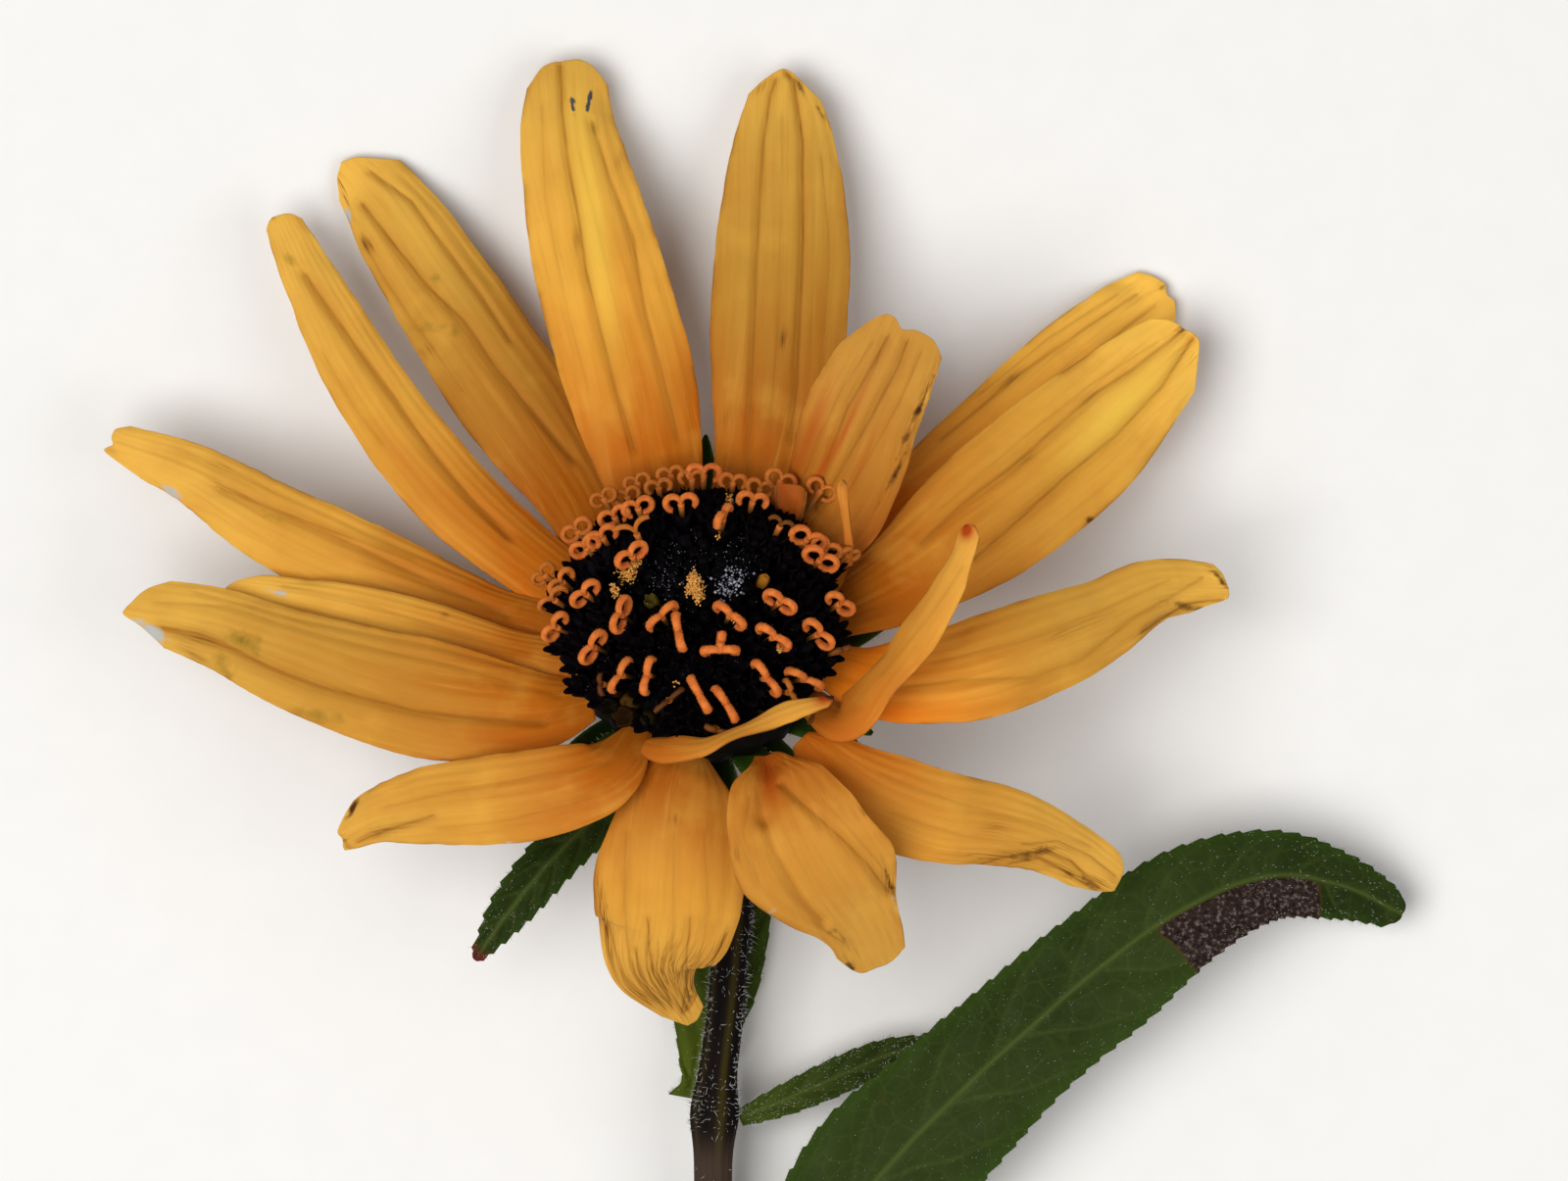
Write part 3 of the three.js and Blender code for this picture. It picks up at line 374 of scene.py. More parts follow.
# A cluster's height over the dome, how fast it falls away from its middle, how far its grains
# stray up and down, and the least and greatest radius of a grain
HEAP_HEIGHT, HEAP_FALL, HEAP_DEPTH = 2.15, 1.3, 0.25
GRAIN_RADII = (0.04, 0.085)

# Pale specks on the crown, partly dust and partly painted glints: the pixel, the spread each way,
# the number and the size of the specks
DUST_AND_PAINTED_GLINTS = [(747, 592, 8, 9, 90, 2.1), (741, 601, 6, 6, 60, 1.8), (760, 570, 16, 9, 130, 1.0),
        (772, 548, 12, 8, 90, 1.0), (700, 525, 12, 12, 70, 0.9), (680, 592, 12, 9, 70, 0.9),
        (695, 560, 40, 26, 200, 0.7), (755, 530, 26, 16, 80, 0.8), (650, 560, 16, 12, 50, 0.8),
        (720, 650, 80, 40, 110, 0.6), (830, 625, 14, 22, 60, 0.8), (610, 690, 20, 26, 50, 0.7)]
# How high the specks lie over the dome, and the radius of one of size 1
DUST_AND_PAINTED_GLINT_HEIGHTS = (0.75, 1.2)
DUST_AND_PAINTED_GLINT_RADIUS = 0.05

# Florets placed on their own, most of another colour: the pixel, how open, the size, and the
# shares of olive and of amber
ODD_FLORETS = [(664, 612, 0.5, 0.9, 1.0, 0.0), (783, 586, 0.1, 0.8, 0.2, 1.0),
               (640, 716, 0.1, 1.2, 0.3, 0.12), (622, 706, 0.1, 1.1, 0.2, 0.05),
               (660, 733, 0.2, 1.1, 0.2, 0.0), (606, 718, 0.6, 1.3, 0.0, 0.0),
               (614, 732, 0.5, 1.3, 0.1, 0.0), (632, 741, 0.6, 1.3, 0.0, 0.05),
               (595, 704, 0.8, 1.2, 0.0, 0.0), (650, 746, 0.6, 1.2, 0.0, 0.0),
               (700, 752, 0.6, 1.2, 0.0, 0.0), (800, 742, 0.6, 1.2, 0.0, 0.0),
               (790, 622, 0.3, 0.7, 1.0, 0.0), (776, 735, 0.2, 1.3, 0.3, 0.2),
               (632, 590, 0.2, 0.7, 0.5, 0.0)]

# A withered scrap of a ray among the styles at the back: rows as for the rays, but with heights
# over the dome
SCRAP = [(4.4, 4.5, 1.8, 0.5, 0), (4.65, 5.1, 2.5, 1.3, 10), (4.75, 5.9, 3.0, 2.0, 15),
         (4.8, 6.9, 3.2, 2.3, 15)]

# Leaves: rows as for the rays, the length of the round end, the arch, the height of the teeth, the
# hairs on the rim and on the face, the side veins' spacing and strength, and how yellow the leaf is
# at its foot and further on
LEAVES = {
    "leafy_bract": dict(
        rows=[(-0.75, -8.2, 5, 0.9, 0), (-4.2, -9.9, 7.2, 2, 0), (-7.4, -12.6, 8.5, 2.6, 0),
              (-10.1, -15.7, 8.7, 2.2, 0), (-12.2, -18.7, 8.2, 0.5, 0)],
        tip=0.3, camber=-0.2, teeth=0.2, cilia=160, fur=260, spacing=1.9, veins=0.3),
    "leaf_behind": dict(
        rows=[(-0.65, -26.2, 1.3, 0.7, 0), (-0.25, -24.1, 1.45, 2, 0), (0.5, -20.8, 1.6, 4.3, 0),
              (1.4, -17.4, 2, 4.2, 0), (2.2, -14.2, 2.4, 3, 0), (2.6, -11.2, 2.8, 0.5, 0)],
        tip=0.3, camber=-0.08, teeth=0.08, cilia=200, fur=200, spacing=2.6, veins=0.2,
        fresh=(1.5, 0.3), left=(0.85, 0.0, 0, 0, 0, 0, 0, 0, 0, 0, 0, 0, 0)),
    "leaf_small": dict(
        rows=[(2.05, -27.25, 3.4, 0.9, 0), (4.6, -26.2, 3.2, 1.6, 0), (7.3, -25, 2.9, 1.9, 0),
              (10.1, -23.8, 2.4, 1.6, 0), (12.8, -23, 2, 0.4, 0)],
        tip=0.3, camber=-0.2, teeth=0.1, cilia=260, fur=420, spacing=2.2, veins=0.2,
        fresh=(0.5, 0.1)),
    "leaf_large": dict(
        rows=[(2.4, -40.8, 2.6, 1.2, 0), (5.6, -35.2, 3.9, 5.6, 0), (9.6, -30.3, 5.0, 8.2, 0),
              (13.7, -26.0, 5.8, 7.6, 0), (17.7, -22.3, 6.4, 7.0, 0), (21.9, -18.7, 6.7, 6.8, 0),
              (26.2, -15.8, 6.4, 6.0, 0), (30.5, -14.2, 5.2, 4.7, 0), (34.4, -14.7, 3.6, 3.5, 0),
              (37.8, -16.3, 2.1, 1.5, 0)],
        tip=1.2, camber=-0.12, teeth=0.17, cilia=620, fur=1000, spacing=5.2, veins=0.32,
        left=(0, 0, 0, -0.2, -0.2, -0.3, 0.05, 0.05, -0.1, 0.1),
        right=(0, 0, 0.1, 0.2, 0.2, 0.3, -0.05, -0.05, 0.05, 0)),
}

# The dead patch on the long leaf, under its midrib: the pixels where its left edge meets the
# midrib and the rim, and how far right it runs
BLOTCH_LEFT = ((1177, 945), (1222, 990))
BLOTCH_RIGHT = 1345

# The stalk: its course from the cut end to the cup
STEM_COURSE = [
    (-0.6, -71.5, 0.86), (-0.2, -61, 1.35), (0.3, -50, 1.95), (0.55, -41, 2.5), (0.6, -33, 3.1),
    (0.65, -27, 3.6), (1.35, -20.5, 3.95), (1.75, -14.5, 4.15), (1.25, -10.3, 4.2),
    (0.55, -7.9, 4.45), (0.1, -6.15, 5.25), (0, -5.03, 6.82)]
STEM_RADIUS = 1.0
STEM_NODE_Y = -27.0
STEM_NODE_SWELL = 0.3
STEM_NODE_LENGTH = 1.5
STALK_HAIRS = 10500
# Where along y the stalk turns brown, towards its cut, and where its stripes set in, upwards
BROWN_FROM = (-27.5, -30)
STRIPES_FROM = (-34, -28)

# The cup behind the head and its phyllaries: radius and height, then rows as for the rays
CUP = [(0.02, -7.2), (1.25, -7.2), (1.7, -6.7), (3.6, -5.9), (5.6, -4.6), (6.6, -3.2), (6.8, -2.1),
       (0.02, -2.1)]
PHYLLARIES = 11
# Those that show between the rays: their turn in degrees, how much longer they are and how far
# their tips rise, by ring and number
LONG_PHYLLARIES = {("inner", 3): (-9, 1.62, 2.0), ("outer", 0): (2, 1.2, 1.9)}
INNER_PHYLLARY = [(4.8, 0, -4.6, 1.7, 0), (7.0, 0, -3.65, 2.0, 0), (8.9, 0, -3.75, 1.5, 0),
                  (10.5, 0, -4.2, 0.3, 0)]
OUTER_PHYLLARY = [(3.6, 0, -5.5, 1.7, 0), (6.2, 0, -5.45, 1.9, 0), (8.1, 0, -5.65, 1.4, 0),
                  (9.6, 0, -6.2, 0.3, 0)]

# A floret by its rings, from the foot up the tube and back down inside it: the height and radius
# of an open one, what a tooth adds to both, the height and radius of a closed one, and how worn
FLORET = np.array([(-0.6, 0.36, 0, 0, -0.6, 0.4, 0), (0.2, 0.4, 0, 0, 0.1, 0.46, 0),
                   (0.6, 0.46, 0, 0.02, 0.42, 0.44, 0), (0.85, 0.5, 0.12, 0.1, 0.66, 0.3, 0.5),
                   (1.05, 0.48, 0.4, 0.2, 0.8, 0.07, 1), (0.95, 0.4, 0.34, 0.14, 0.76, 0.05, 0.4),
                   (0.3, 0.2, 0, 0, 0.7, 0.02, 0)])

# How finely the pieces are made: rows and columns of the sheets, and sides of the round pieces
NARROW_RAYS = ("ray_11", "ray_17", "ray_18")
RAY_GRID, NARROW_RAY_GRID, SCRAP_GRID = (130, 49), (90, 17), (40, 21)
LONG_LEAF_GRID, LEAF_GRID, PHYLLARY_GRID = (300, 57), (120, 25), (14, 7)
DISC_SIDES, FLORET_SIDES, CUP_SIDES = 96, 30, 88
STEM_STEPS, STEM_SIDES = 300, 44
STYLE_STEPS, POST_STEPS, STYLE_SIDES = 22, 8, 8
HAIR_SIDES = 3
# How far apart the teeth of a leaf are
TOOTH_LENGTH = 1.1

# Half the thickness of the sheets that have no setting for it, and the radius of their hairs
SCRAP_HALF, PHYLLARY_HALF, LEAF_HALF = 0.06, 0.14, 0.15
HAIR_RADIUS, LEAF_HAIR_RADIUS, LONG_LEAF_HAIR_RADIUS, VELVET_RADIUS = 0.018, 0.017, 0.013, 0.016
# The least and greatest length of the hairs, and for the stalk the shares of its setting
VELVET_LENGTHS, PHYLLARY_HAIR_LENGTHS = (0.05, 0.1), (0.15, 0.32)
LEAF_RIM_LENGTHS, LEAF_FACE_LENGTHS = (0.14, 0.32), (0.06, 0.15)
STALK_HAIR_SHARES = (0.3, 0.95)
# The hairs of the velvet on each arm of a style
VELVET = 95
# The disc under its florets: the radius and height of its underside and rim, then the radii of
# its crown, which lies so far below the dome
DISC_RIM = [(0.02, -1.8), (5.5, -1.8), (5.6, -0.8), (7.1, -0.6), (7.35, -0.1)]
CROWN_RADII = (7.0, 6.2, 5.2, 4.2, 3.2, 2.2, 1.2, 0.02)
CROWN_DROP = 0.08
# How far out the spiral of florets and the feet of styles go, the height at which the florets
# placed on their own are seen, and the room that the spiral leaves round them and the styles
DISC_REACH, FOOT_REACH = 7.2, 7.1
FLORET_LIFT = 0.8
FLORET_ROOM = 0.52
# How far a fork may be moved to where it is seen, and the steps of a search for a place
FORK_SHIFT = 1.6
SEARCH_STEPS = 60
# A ray's shoulder: how far it goes up the ray and how much it tilts the base, in degrees
SHOULDER_LENGTH, SHOULDER_TILT = 3.6, 7
# From which share of a blade's length its lines draw back to the end
END_FROM = 0.62
# The least height of a ray over the floor; then, in metres, how far below the part the floor lies
# and half its width
LEAST_HEIGHT = 0.02
FLOOR_DROP = 0.00005
FLOOR_HALF = 3.0
# The lights' places and widths, the place that they shine at, in metres, and the sky
KEY_LIGHT = ((-0.45, -0.12, 1.0), 0.8)
FILL_LIGHT = ((0.8, -0.3, 0.9), 0.9)
LIGHT_AIM = (0, 0.02, 0)
SKY_COLOUR = (0.92, 0.94, 1.0, 1)
# The picture: its size in pixels, the camera's sensor in millimetres, and how far it sees, in
# metres
PICTURE = (1600, 1205)
SENSOR = 36.0
CLIP_END = 20.0
# How much higher than its distance the camera hangs over the floor, in metres
HEAD_ROOM = 0.01


def colour(code):
    """The linear colour of a six-digit sRGB code."""
    parts = [int(code[i:i + 2], 16) / 255 for i in (0, 2, 4)]
    return tuple(c / 12.92 if c <= 0.04045 else ((c + 0.055) / 1.055) ** 2.4 for c in parts)


def seen(px, py):
    """The plan millimetres under a pixel of the photograph, or under arrays of them."""
    return (np.asarray(px, float) - ZERO_PIXEL[0]) / PIXELS_PER_MM, \
           (ZERO_PIXEL[1] - np.asarray(py, float)) / PIXELS_PER_MM


def smoothstep(low, high, x):
    """0 below low, 1 above high, and 3s^2 - 2s^3 of the share s of the way between."""
    s = np.clip((x - low) / (high - low), 0, 1)
    return s * s * (3 - 2 * s)


def unit(v):
    """Vectors over their lengths."""
    return v / np.linalg.norm(v, axis=-1, keepdims=True)


def curve_at(rows, t):
    """The smooth curve through rows, and its slope, at t from 0 at the first row to 1 at the last.

    Between two rows it is the cubic that passes through both, with a slope at each of half the
    step between its neighbours. Past each end the rows go on by their last step, and t may run
    a little past 1.
    """
    rows = np.asarray(rows, float)
    padded = np.vstack([2 * rows[0] - rows[1], rows, 2 * rows[-1] - rows[-2]])
    at = np.clip(t, 0, 1.06) * (len(rows) - 1)
    i = np.minimum(at.astype(int), len(rows) - 2)
    f = (at - i)[..., None]
    p0, p1, p2, p3 = (padded[i + k] for k in range(4))
    s1, s2 = (p2 - p0) / 2, (p3 - p1) / 2
    c2 = 3 * (p2 - p1) - 2 * s1 - s2
    c3 = 2 * (p1 - p2) + s1 + s2
    return p1 + f * (s1 + f * (c2 + f * c3)), s1 + f * (2 * c2 + 3 * f * c3)


def ripple(rng, x, y, scale_x, scale_y, waves=7):
    """A smooth field between about -1 and 1: the mean of sine waves of random slope and phase."""
    total = np.zeros(np.broadcast(x, y).shape)
    for _ in range(waves):
        a, b = rng.normal(0, 1, 2)
        total = total + np.sin(x * a * scale_x + y * b * scale_y + rng.uniform(0, 2 * math.pi))
    return total / math.sqrt(waves / 2) / 1.6


def head_to_plan(points):
    """Points of the head, whose axis is z, turned by its lean about x and moved to its centre."""
    x, y, z = points[..., 0], points[..., 1], points[..., 2]
    c, s = math.cos(HEAD_LEAN), math.sin(HEAD_LEAN)
    return np.stack([x, y * c + z * s, z * c - y * s], -1) + HEAD_CENTRE


def turned_with_head(vectors):
    """Directions of the head as directions of the plan: the same turn without the move."""
    return head_to_plan(vectors) - HEAD_CENTRE


def dome(x, y):
    """A point of the disc's dome, whose height is DISC_HEIGHT (1 - r^2 / R^2), and its normal."""
    height = DISC_HEIGHT * (1 - (x * x + y * y) / DISC_RADIUS ** 2)
    slope = 2 * DISC_HEIGHT / DISC_RADIUS ** 2
    return np.stack([x, y, height], -1), unit(np.stack([x * slope, y * slope, np.ones_like(x)], -1))


class Piece:
    """Vertices, faces and values at vertices, gathered before they become one mesh."""

    def __init__(self):
        self.points, self.faces, self.fields, self.count = [], [], [], 0

    def add(self, points, faces, **fields):
        """Adds points of any shape (..., 3), faces that index them, and a value of each field."""
        points = np.asarray(points, float).reshape(-1, 3)
        self.points.append(points)
        self.faces.append([f + self.count for f in faces])
        self.fields.append({k: np.broadcast_to(v, len(points)) if np.ndim(v) == 0
                            else np.asarray(v, float).reshape(-1) for k, v in fields.items()})
        self.count += len(points)

    def add_sheet(self, both, **fields):
        """Adds a closed sheet by its upper and lower points (2, rows, columns, 3), and values
        that both share."""
        shape = both.shape[1:3]
        self.add(both, sheet_faces(*shape),
                 **{k: np.tile(np.broadcast_to(f, shape), (2, 1)) for k, f in fields.items()})

    def make(self, name, slot, material, replaces=()):
        """The mesh object, in metres in the part's frame, riding on the part's one body."""
        points = (np.vstack(self.points) - PLAN_ORIGIN) * MM
        faces = [row for group in self.faces for block in group for row in block.tolist()]
        mesh = bpy.data.meshes.new(name)
        mesh.from_pydata(points.tolist(), [], faces)
        names = sorted({k for f in self.fields for k in f})
        values = {k: np.concatenate([f.get(k, np.zeros(len(p)))
                                     for f, p in zip(self.fields, self.points)]) for k in names}
        for key in names:
            if key not in ("u", "v"):
                mesh.attributes.new(key, "FLOAT", "POINT").data.foreach_set("value", values[key])
        if "u" in names:
            corners = np.empty(len(mesh.loops), int)
            mesh.loops.foreach_get("vertex_index", corners)
            uv = np.stack([values["u"][corners], values["v"][corners]], -1)
            mesh.uv_layers.new(name="UVMap").data.foreach_set("uv", uv.ravel())
        mesh.shade_smooth()
        mesh.materials.append(material)
        mesh.update()
        piece = bpy.data.objects.new(name, mesh)
        bpy.context.scene.collection.objects.link(piece)
        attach(piece, BODY)
        if replaces:
            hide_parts(*replaces)
        return piece


def grid_faces(rows, columns, wrap=False):
    """The quads of a grid, turned so that they face along column step x row step."""
    last = columns if wrap else columns - 1
    i, j = np.meshgrid(np.arange(rows - 1), np.arange(last), indexing="ij")
    k = (j + 1) % columns
    quads = [i * columns + j, i * columns + k, (i + 1) * columns + k, (i + 1) * columns + j]
    return np.stack(quads, -1).reshape(-1, 4)


def sheet_faces(rows, columns):
    """The quads of two grids of points one above the other, and of the rim that closes them."""
    up = grid_faces(rows, columns)
    down = up[:, ::-1] + rows * columns
    i, j, n = np.arange(rows - 1), np.arange(columns - 1), rows * columns
    left = np.stack([i * columns, (i + 1) * columns, (i + 1) * columns + n, i * columns + n], -1)
    right = np.stack([left[:, 1], left[:, 0], left[:, 3], left[:, 2]], -1) + columns - 1
    base = np.stack([j + 1, j, j + n, j + 1 + n], -1)
    end = np.stack([base[:, 1], base[:, 0], base[:, 3], base[:, 2]], -1) + (rows - 1) * columns
    return [up, down, left, right, base, end]


def repeated(blocks, count, per):
    """The faces of one thing for each of count things, whose points follow on, per to each."""
    shift = (np.arange(count) * per)[:, None, None]
    return [(faces[None] + shift).reshape(-1, faces.shape[-1]) for faces in blocks]


def around(sides):
    """The angles of a ring's points."""
    return np.arange(sides) * 2 * math.pi / sides


def lathe(radius, height, turn):
    """A closed turned solid, from rings of radii (rings, sides) at heights: points and faces."""
    rings, sides = radius.shape
    points = np.stack([radius * np.cos(turn), radius * np.sin(turn),
                       np.broadcast_to(height, radius.shape)], -1)
    return points, [grid_faces(rings, sides, wrap=True), np.arange(sides)[None, ::-1],
                    (rings - 1) * sides + np.arange(sides)[None]]


def round_ring(side, other, turn):
    """Unit spokes side cos(turn) + other sin(turn) for rows of directions."""
    return side[:, None] * np.cos(turn)[:, None] + other[:, None] * np.sin(turn)[:, None]


def tubes(centres, side, other, radius_a, radius_b, sides):
    """Closed tubes along rows of centres (tubes, steps, 3).

    Each ring is the centre plus side times radius_a cos(turn) plus other times radius_b
    sin(turn), and each end is drawn in to a point at its centre.
    """
    count, steps = centres.shape[:2]
    turn = around(sides)
    ring = (side[..., None, :] * (radius_a[..., None] * np.cos(turn))[..., None]
            + other[..., None, :] * (radius_b[..., None] * np.sin(turn))[..., None])
    points = centres[..., None, :] + ring
    per = steps * sides + 2
    everything = np.concatenate(
        [points.reshape(count, -1, 3), centres[:, :1], centres[:, -1:]], axis=1)
    quads = grid_faces(steps, sides, wrap=True)
    k = np.arange(sides)
    start = np.stack([np.full(sides, per - 2), (k + 1) % sides, k], -1)
    far = (steps - 1) * sides
    end = np.stack([np.full(sides, per - 1), far + k, far + (k + 1) % sides], -1)
    return everything, repeated((quads, start, end), count, per)


def hairs(roots, ways, lengths, radius, bend):
    """Thin hairs: three-sided, drawn in to a point, and bent over by bend times their length."""
    n = HAIR_SIDES
    sideways = unit(np.cross(ways, np.array([0.31, 0.17, 0.93])))
    ring = round_ring(sideways, np.cross(ways, sideways), around(n))
    lengths = np.asarray(lengths)[:, None]
    middle = roots + ways * lengths * 0.55 + bend * lengths * 0.3
    tip = roots + ways * lengths * 0.92 + bend * lengths
    points = np.concatenate([roots[:, None] + ring * radius, middle[:, None] + ring * radius * 0.6,
                             tip[:, None]], axis=1)
    k = np.arange(n)
    quads = np.stack([k, (k + 1) % n, (k + 1) % n + n, k + n], -1)
    point = np.stack([k + n, (k + 1) % n + n, np.full(n, 2 * n)], -1)
    return points, repeated((quads, point, k[None, ::-1]), len(roots), 2 * n + 1)


def grains(places, radii):
    """Pollen and other specks: eight-sided grains, round each place, of the radii given."""
    corners = np.array([[1, 0, 0], [0, 1, 0], [-1, 0, 0], [0, -1, 0], [0, 0, 1], [0, 0, -1]], float)
    faces = np.array([[0, 1, 4], [1, 2, 4], [2, 3, 4], [3, 0, 4], [1, 0, 5], [2, 1, 5], [3, 2, 5],
                      [0, 3, 5]])
    points = places[:, None] + corners[None] * np.asarray(radii)[:, None, None]
    return points, repeated((faces,), len(places), len(corners))


def round_end(tip):
    """The nine distances of a round end: tip (1 - root(1 - across^2))."""
    return tip * (1 - np.sqrt(1 - np.linspace(-1, 1, 9) ** 2))


def blade_frame(rows, reach, across, end, shoulder=0.0):
    """The flat blade that the rows give: points, sideways and upward directions, half widths,
    places along the rows from 0 to 1, and the length.

    reach runs from 0 at the base to 1 at the tip and across from -1 to 1. Past END_FROM of the
    way each line along the blade draws back from the last row by the end's distance at its place
    across. A shoulder widens the base by shoulder e^-(distance / SHOULDER_LENGTH)^2 and tilts it,
    so that neighbours lap over each other like shingles.
    """
    rows = np.asarray(rows, float)
    spine = curve_at(rows[:, :3], np.linspace(0, 1, 200))[0]
    length = np.linalg.norm(np.diff(spine, axis=0), axis=1).sum()
    pull = curve_at(np.asarray(end, float)[:, None], (across + 1) / 2)[0][:, 0]
    t = reach[:, None] - smoothstep(END_FROM, 1, reach)[:, None] * pull[None] / length
    middle, run = curve_at(rows[:, :3], t)
    run = unit(run)
    shape = curve_at(rows[:, 3:], t)[0]
    near = np.exp(-(t * length / SHOULDER_LENGTH) ** 2)
    bank = -np.radians(shape[..., 1] + SHOULDER_TILT * shoulder * near)[..., None]
    side = unit(np.cross(run, np.array([0.0, 0.0, 1.0])))
    side = side * np.cos(bank) + np.cross(run, side) * np.sin(bank)
    normal = unit(np.cross(side, run))
    return middle, side, normal, (shape[..., 0] + shoulder * near) / 2, t, length


class Shader:
    """A material's node tree, with short ways to add the nodes that the finishes here share."""

    def __init__(self, name, **surface):
        self.material = bpy.data.materials.new(name)
        self.material.use_nodes = True
        self.tree = self.material.node_tree
        self.surface = self.tree.nodes["Principled BSDF"]
        for key, value in surface.items():
            self.surface.inputs[key.replace("_", " ")].default_value = value

    def node(self, kind, inputs=(), **settings):
        """A node with its settings made and its inputs, by name or number, linked or set."""
        made = self.tree.nodes.new("ShaderNode" + kind)
        for key, value in settings.items():
            setattr(made, key, value)
        for key, value in dict(inputs).items():
            if isinstance(value, bpy.types.NodeSocket):
                self.tree.links.new(value, made.inputs[key])
            else:
                made.inputs[key].default_value = value
        return made

    def field(self, name):
        """A value that the mesh holds at its vertices."""
        return self.node("Attribute", attribute_name=name).outputs["Fac"]

    def share(self, name, most):
        """Such a value times the most that it counts for, kept from 0 to 1."""
        return self.math("MULTIPLY", self.field(name), most, clamp=True)

    def place(self, scale, where=None):
        """Where the piece's UV map, or another vector, leads, stretched by a scale per axis."""
        if where is None:
            where = self.node("TexCoord").outputs["UV"]
        return self.node("Mapping", {"Vector": where, "Scale": scale}).outputs["Vector"]

    def noise(self, vector, detail=3.0, roughness=0.55):
        """Soft noise from 0 to 1."""
        return self.node("TexNoise", {"Vector": vector, "Scale": 1.0, "Detail": detail,
                                      "Roughness": roughness}).outputs["Fac"]

    def grain(self, *scale, detail=3.0, roughness=0.55):
        """Soft noise on Object coordinates, of one scale or one per axis."""
        where = self.node("TexCoord").outputs["Object"]
        return self.noise(self.place(scale * (3 // len(scale)), where), detail, roughness)

    def net(self, scale):
        """How far each place of the UV map is from the walls of its cells."""
        return self.node("TexVoronoi", {"Vector": self.place((scale, scale, 1)), "Scale": 1.0},
                         feature="DISTANCE_TO_EDGE").outputs["Distance"]

    def math(self, operation, a, b=0.0, c=0.0, clamp=False):
        """A sum, product or other work on two or three values."""
        made = self.node("Math", {0: a, 1: b, 2: c}, operation=operation, use_clamp=clamp)
        return made.outputs[0]

    def span(self, value, low, high, to_low=0.0, to_high=1.0):
        """A value moved from one range to another and kept within it."""
        return self.node("MapRange", {"Value": value, "From Min": low, "From Max": high,
                                      "To Min": to_low, "To Max": to_high}).outputs["Result"]

    def ramp(self, value, stops):
        """Colours along a value, by stops of place and colour."""
        made = self.node("ValToRGB", {"Fac": value})
        elements = made.color_ramp.elements
        while len(elements) < len(stops):
            elements.new(0.5)
        for element, (place, shade) in zip(elements, stops):
            element.position = place
            element.color = (*shade, 1)
        return made.outputs["Color"]

    def mix(self, share, first, second, blend="MIX"):
        """Two colours mixed by a share."""
        made = self.node("Mix", data_type="RGBA", blend_type=blend)
        for key, value in ((0, share), (6, first), (7, second)):
            if isinstance(value, bpy.types.NodeSocket):
                self.tree.links.new(value, made.inputs[key])
            else:
                made.inputs[key].default_value = (*value, 1) if key else value
        return made.outputs[2]

    def coats(self, base, *coats):
        """A colour with others mixed over it in turn, by pairs of a share and a colour or code."""
        for share, coat in coats:
            base = self.mix(share, base, colour(coat) if isinstance(coat, str) else coat)
        return base

    def finish(self, colour_socket, roughness=None, bumps=()):
        """Links the colour, the roughness and a chain of bumps of height, depth and strength."""
        self.tree.links.new(colour_socket, self.surface.inputs["Base Color"])
        if roughness is not None:
            self.tree.links.new(roughness, self.surface.inputs["Roughness"])
        normal = None
        for height, depth, strength in bumps:
            inputs = {"Height": height, "Distance": depth, "Strength": strength}
            if normal is not None:
                inputs["Normal"] = normal
            normal = self.node("Bump", inputs).outputs["Normal"]
        if normal is not None:
            self.tree.links.new(normal, self.surface.inputs["Normal"])
        return self.material


def tint(name, text, code):
    """A colour that the user can change, by its sRGB code."""
    return FloatVectorProperty(name=name, description=text, subtype="COLOR", size=3, min=0, max=1,
                               default=colour(code))


def span(name, text, value, low, high):
    """A length in metres that the user can change."""
    return FloatProperty(name=name, description=text, default=value, min=low, max=high,
                         precision=5, unit="LENGTH", subtype="DISTANCE")


class SunflowerRays(bpy.types.PropertyGroup):
    """Sizes and colours of the rays."""
    thickness: span("Thickness", "Thickness of a ray in its middle", 0.00026, 0.0001, 0.0005)
    veins: span("Vein height", "Height of the fine lengthwise veins", 0.000022, 0, 0.0001)
    waviness: span("Waviness", "How far the rays' edges rise and fall", 0.00013, 0, 0.0003)
    tip: tint("Tip", "Colour towards the tip", "DEAA46")
    middle: tint("Middle", "Colour of the middle", "CF9335")
    base: tint("Base", "Colour near the disc", "B05C0C")
    # The colour of the painted shade in the pleats
    groove: tint("Groove", "Colour in the pleats", "8E5614")
    burnt: tint("Burnt", "Colour of dead edges", "3A1A08")


class SunflowerDisc(bpy.types.PropertyGroup):
    """Sizes and colours of the disc, its florets and styles."""
    buds: IntProperty(name="Florets", description="Florets on the disc's spiral", default=215,
                      min=40, max=300)
    style_width: span("Style width", "Width of a style's arm", 0.00050, 0.0002, 0.0006)
    corolla: tint("Corolla", "Colour of the florets", "060406")
    style: tint("Style", "Colour of a fresh style", "DC7A34")
    style_foot: tint("Style foot", "Colour of a style's post", "40300C")
    pollen: tint("Pollen", "Colour of the pollen", "ECB45A")


class SunflowerGreens(bpy.types.PropertyGroup):
    """Sizes and colours of the leaves, the cup and the stalk."""
    leaf: tint("Leaf", "Colour of a leaf's upper side", "24310D")
    vein: tint("Vein", "Colour of the veins", "4C5826")
    blotch: tint("Blotch", "Colour of the dead patch", "2E211C")
    cup: tint("Cup", "Colour of the cup and its phyllaries", "2A4410")
    stalk: tint("Stalk", "Colour of the stalk", "120A08")
    hair: tint("Hair", "Colour of the hairs", "D6D8D4")
    hair_length: span("Hair length", "Length of the stalk's hairs", 0.00042, 0.0001, 0.001)


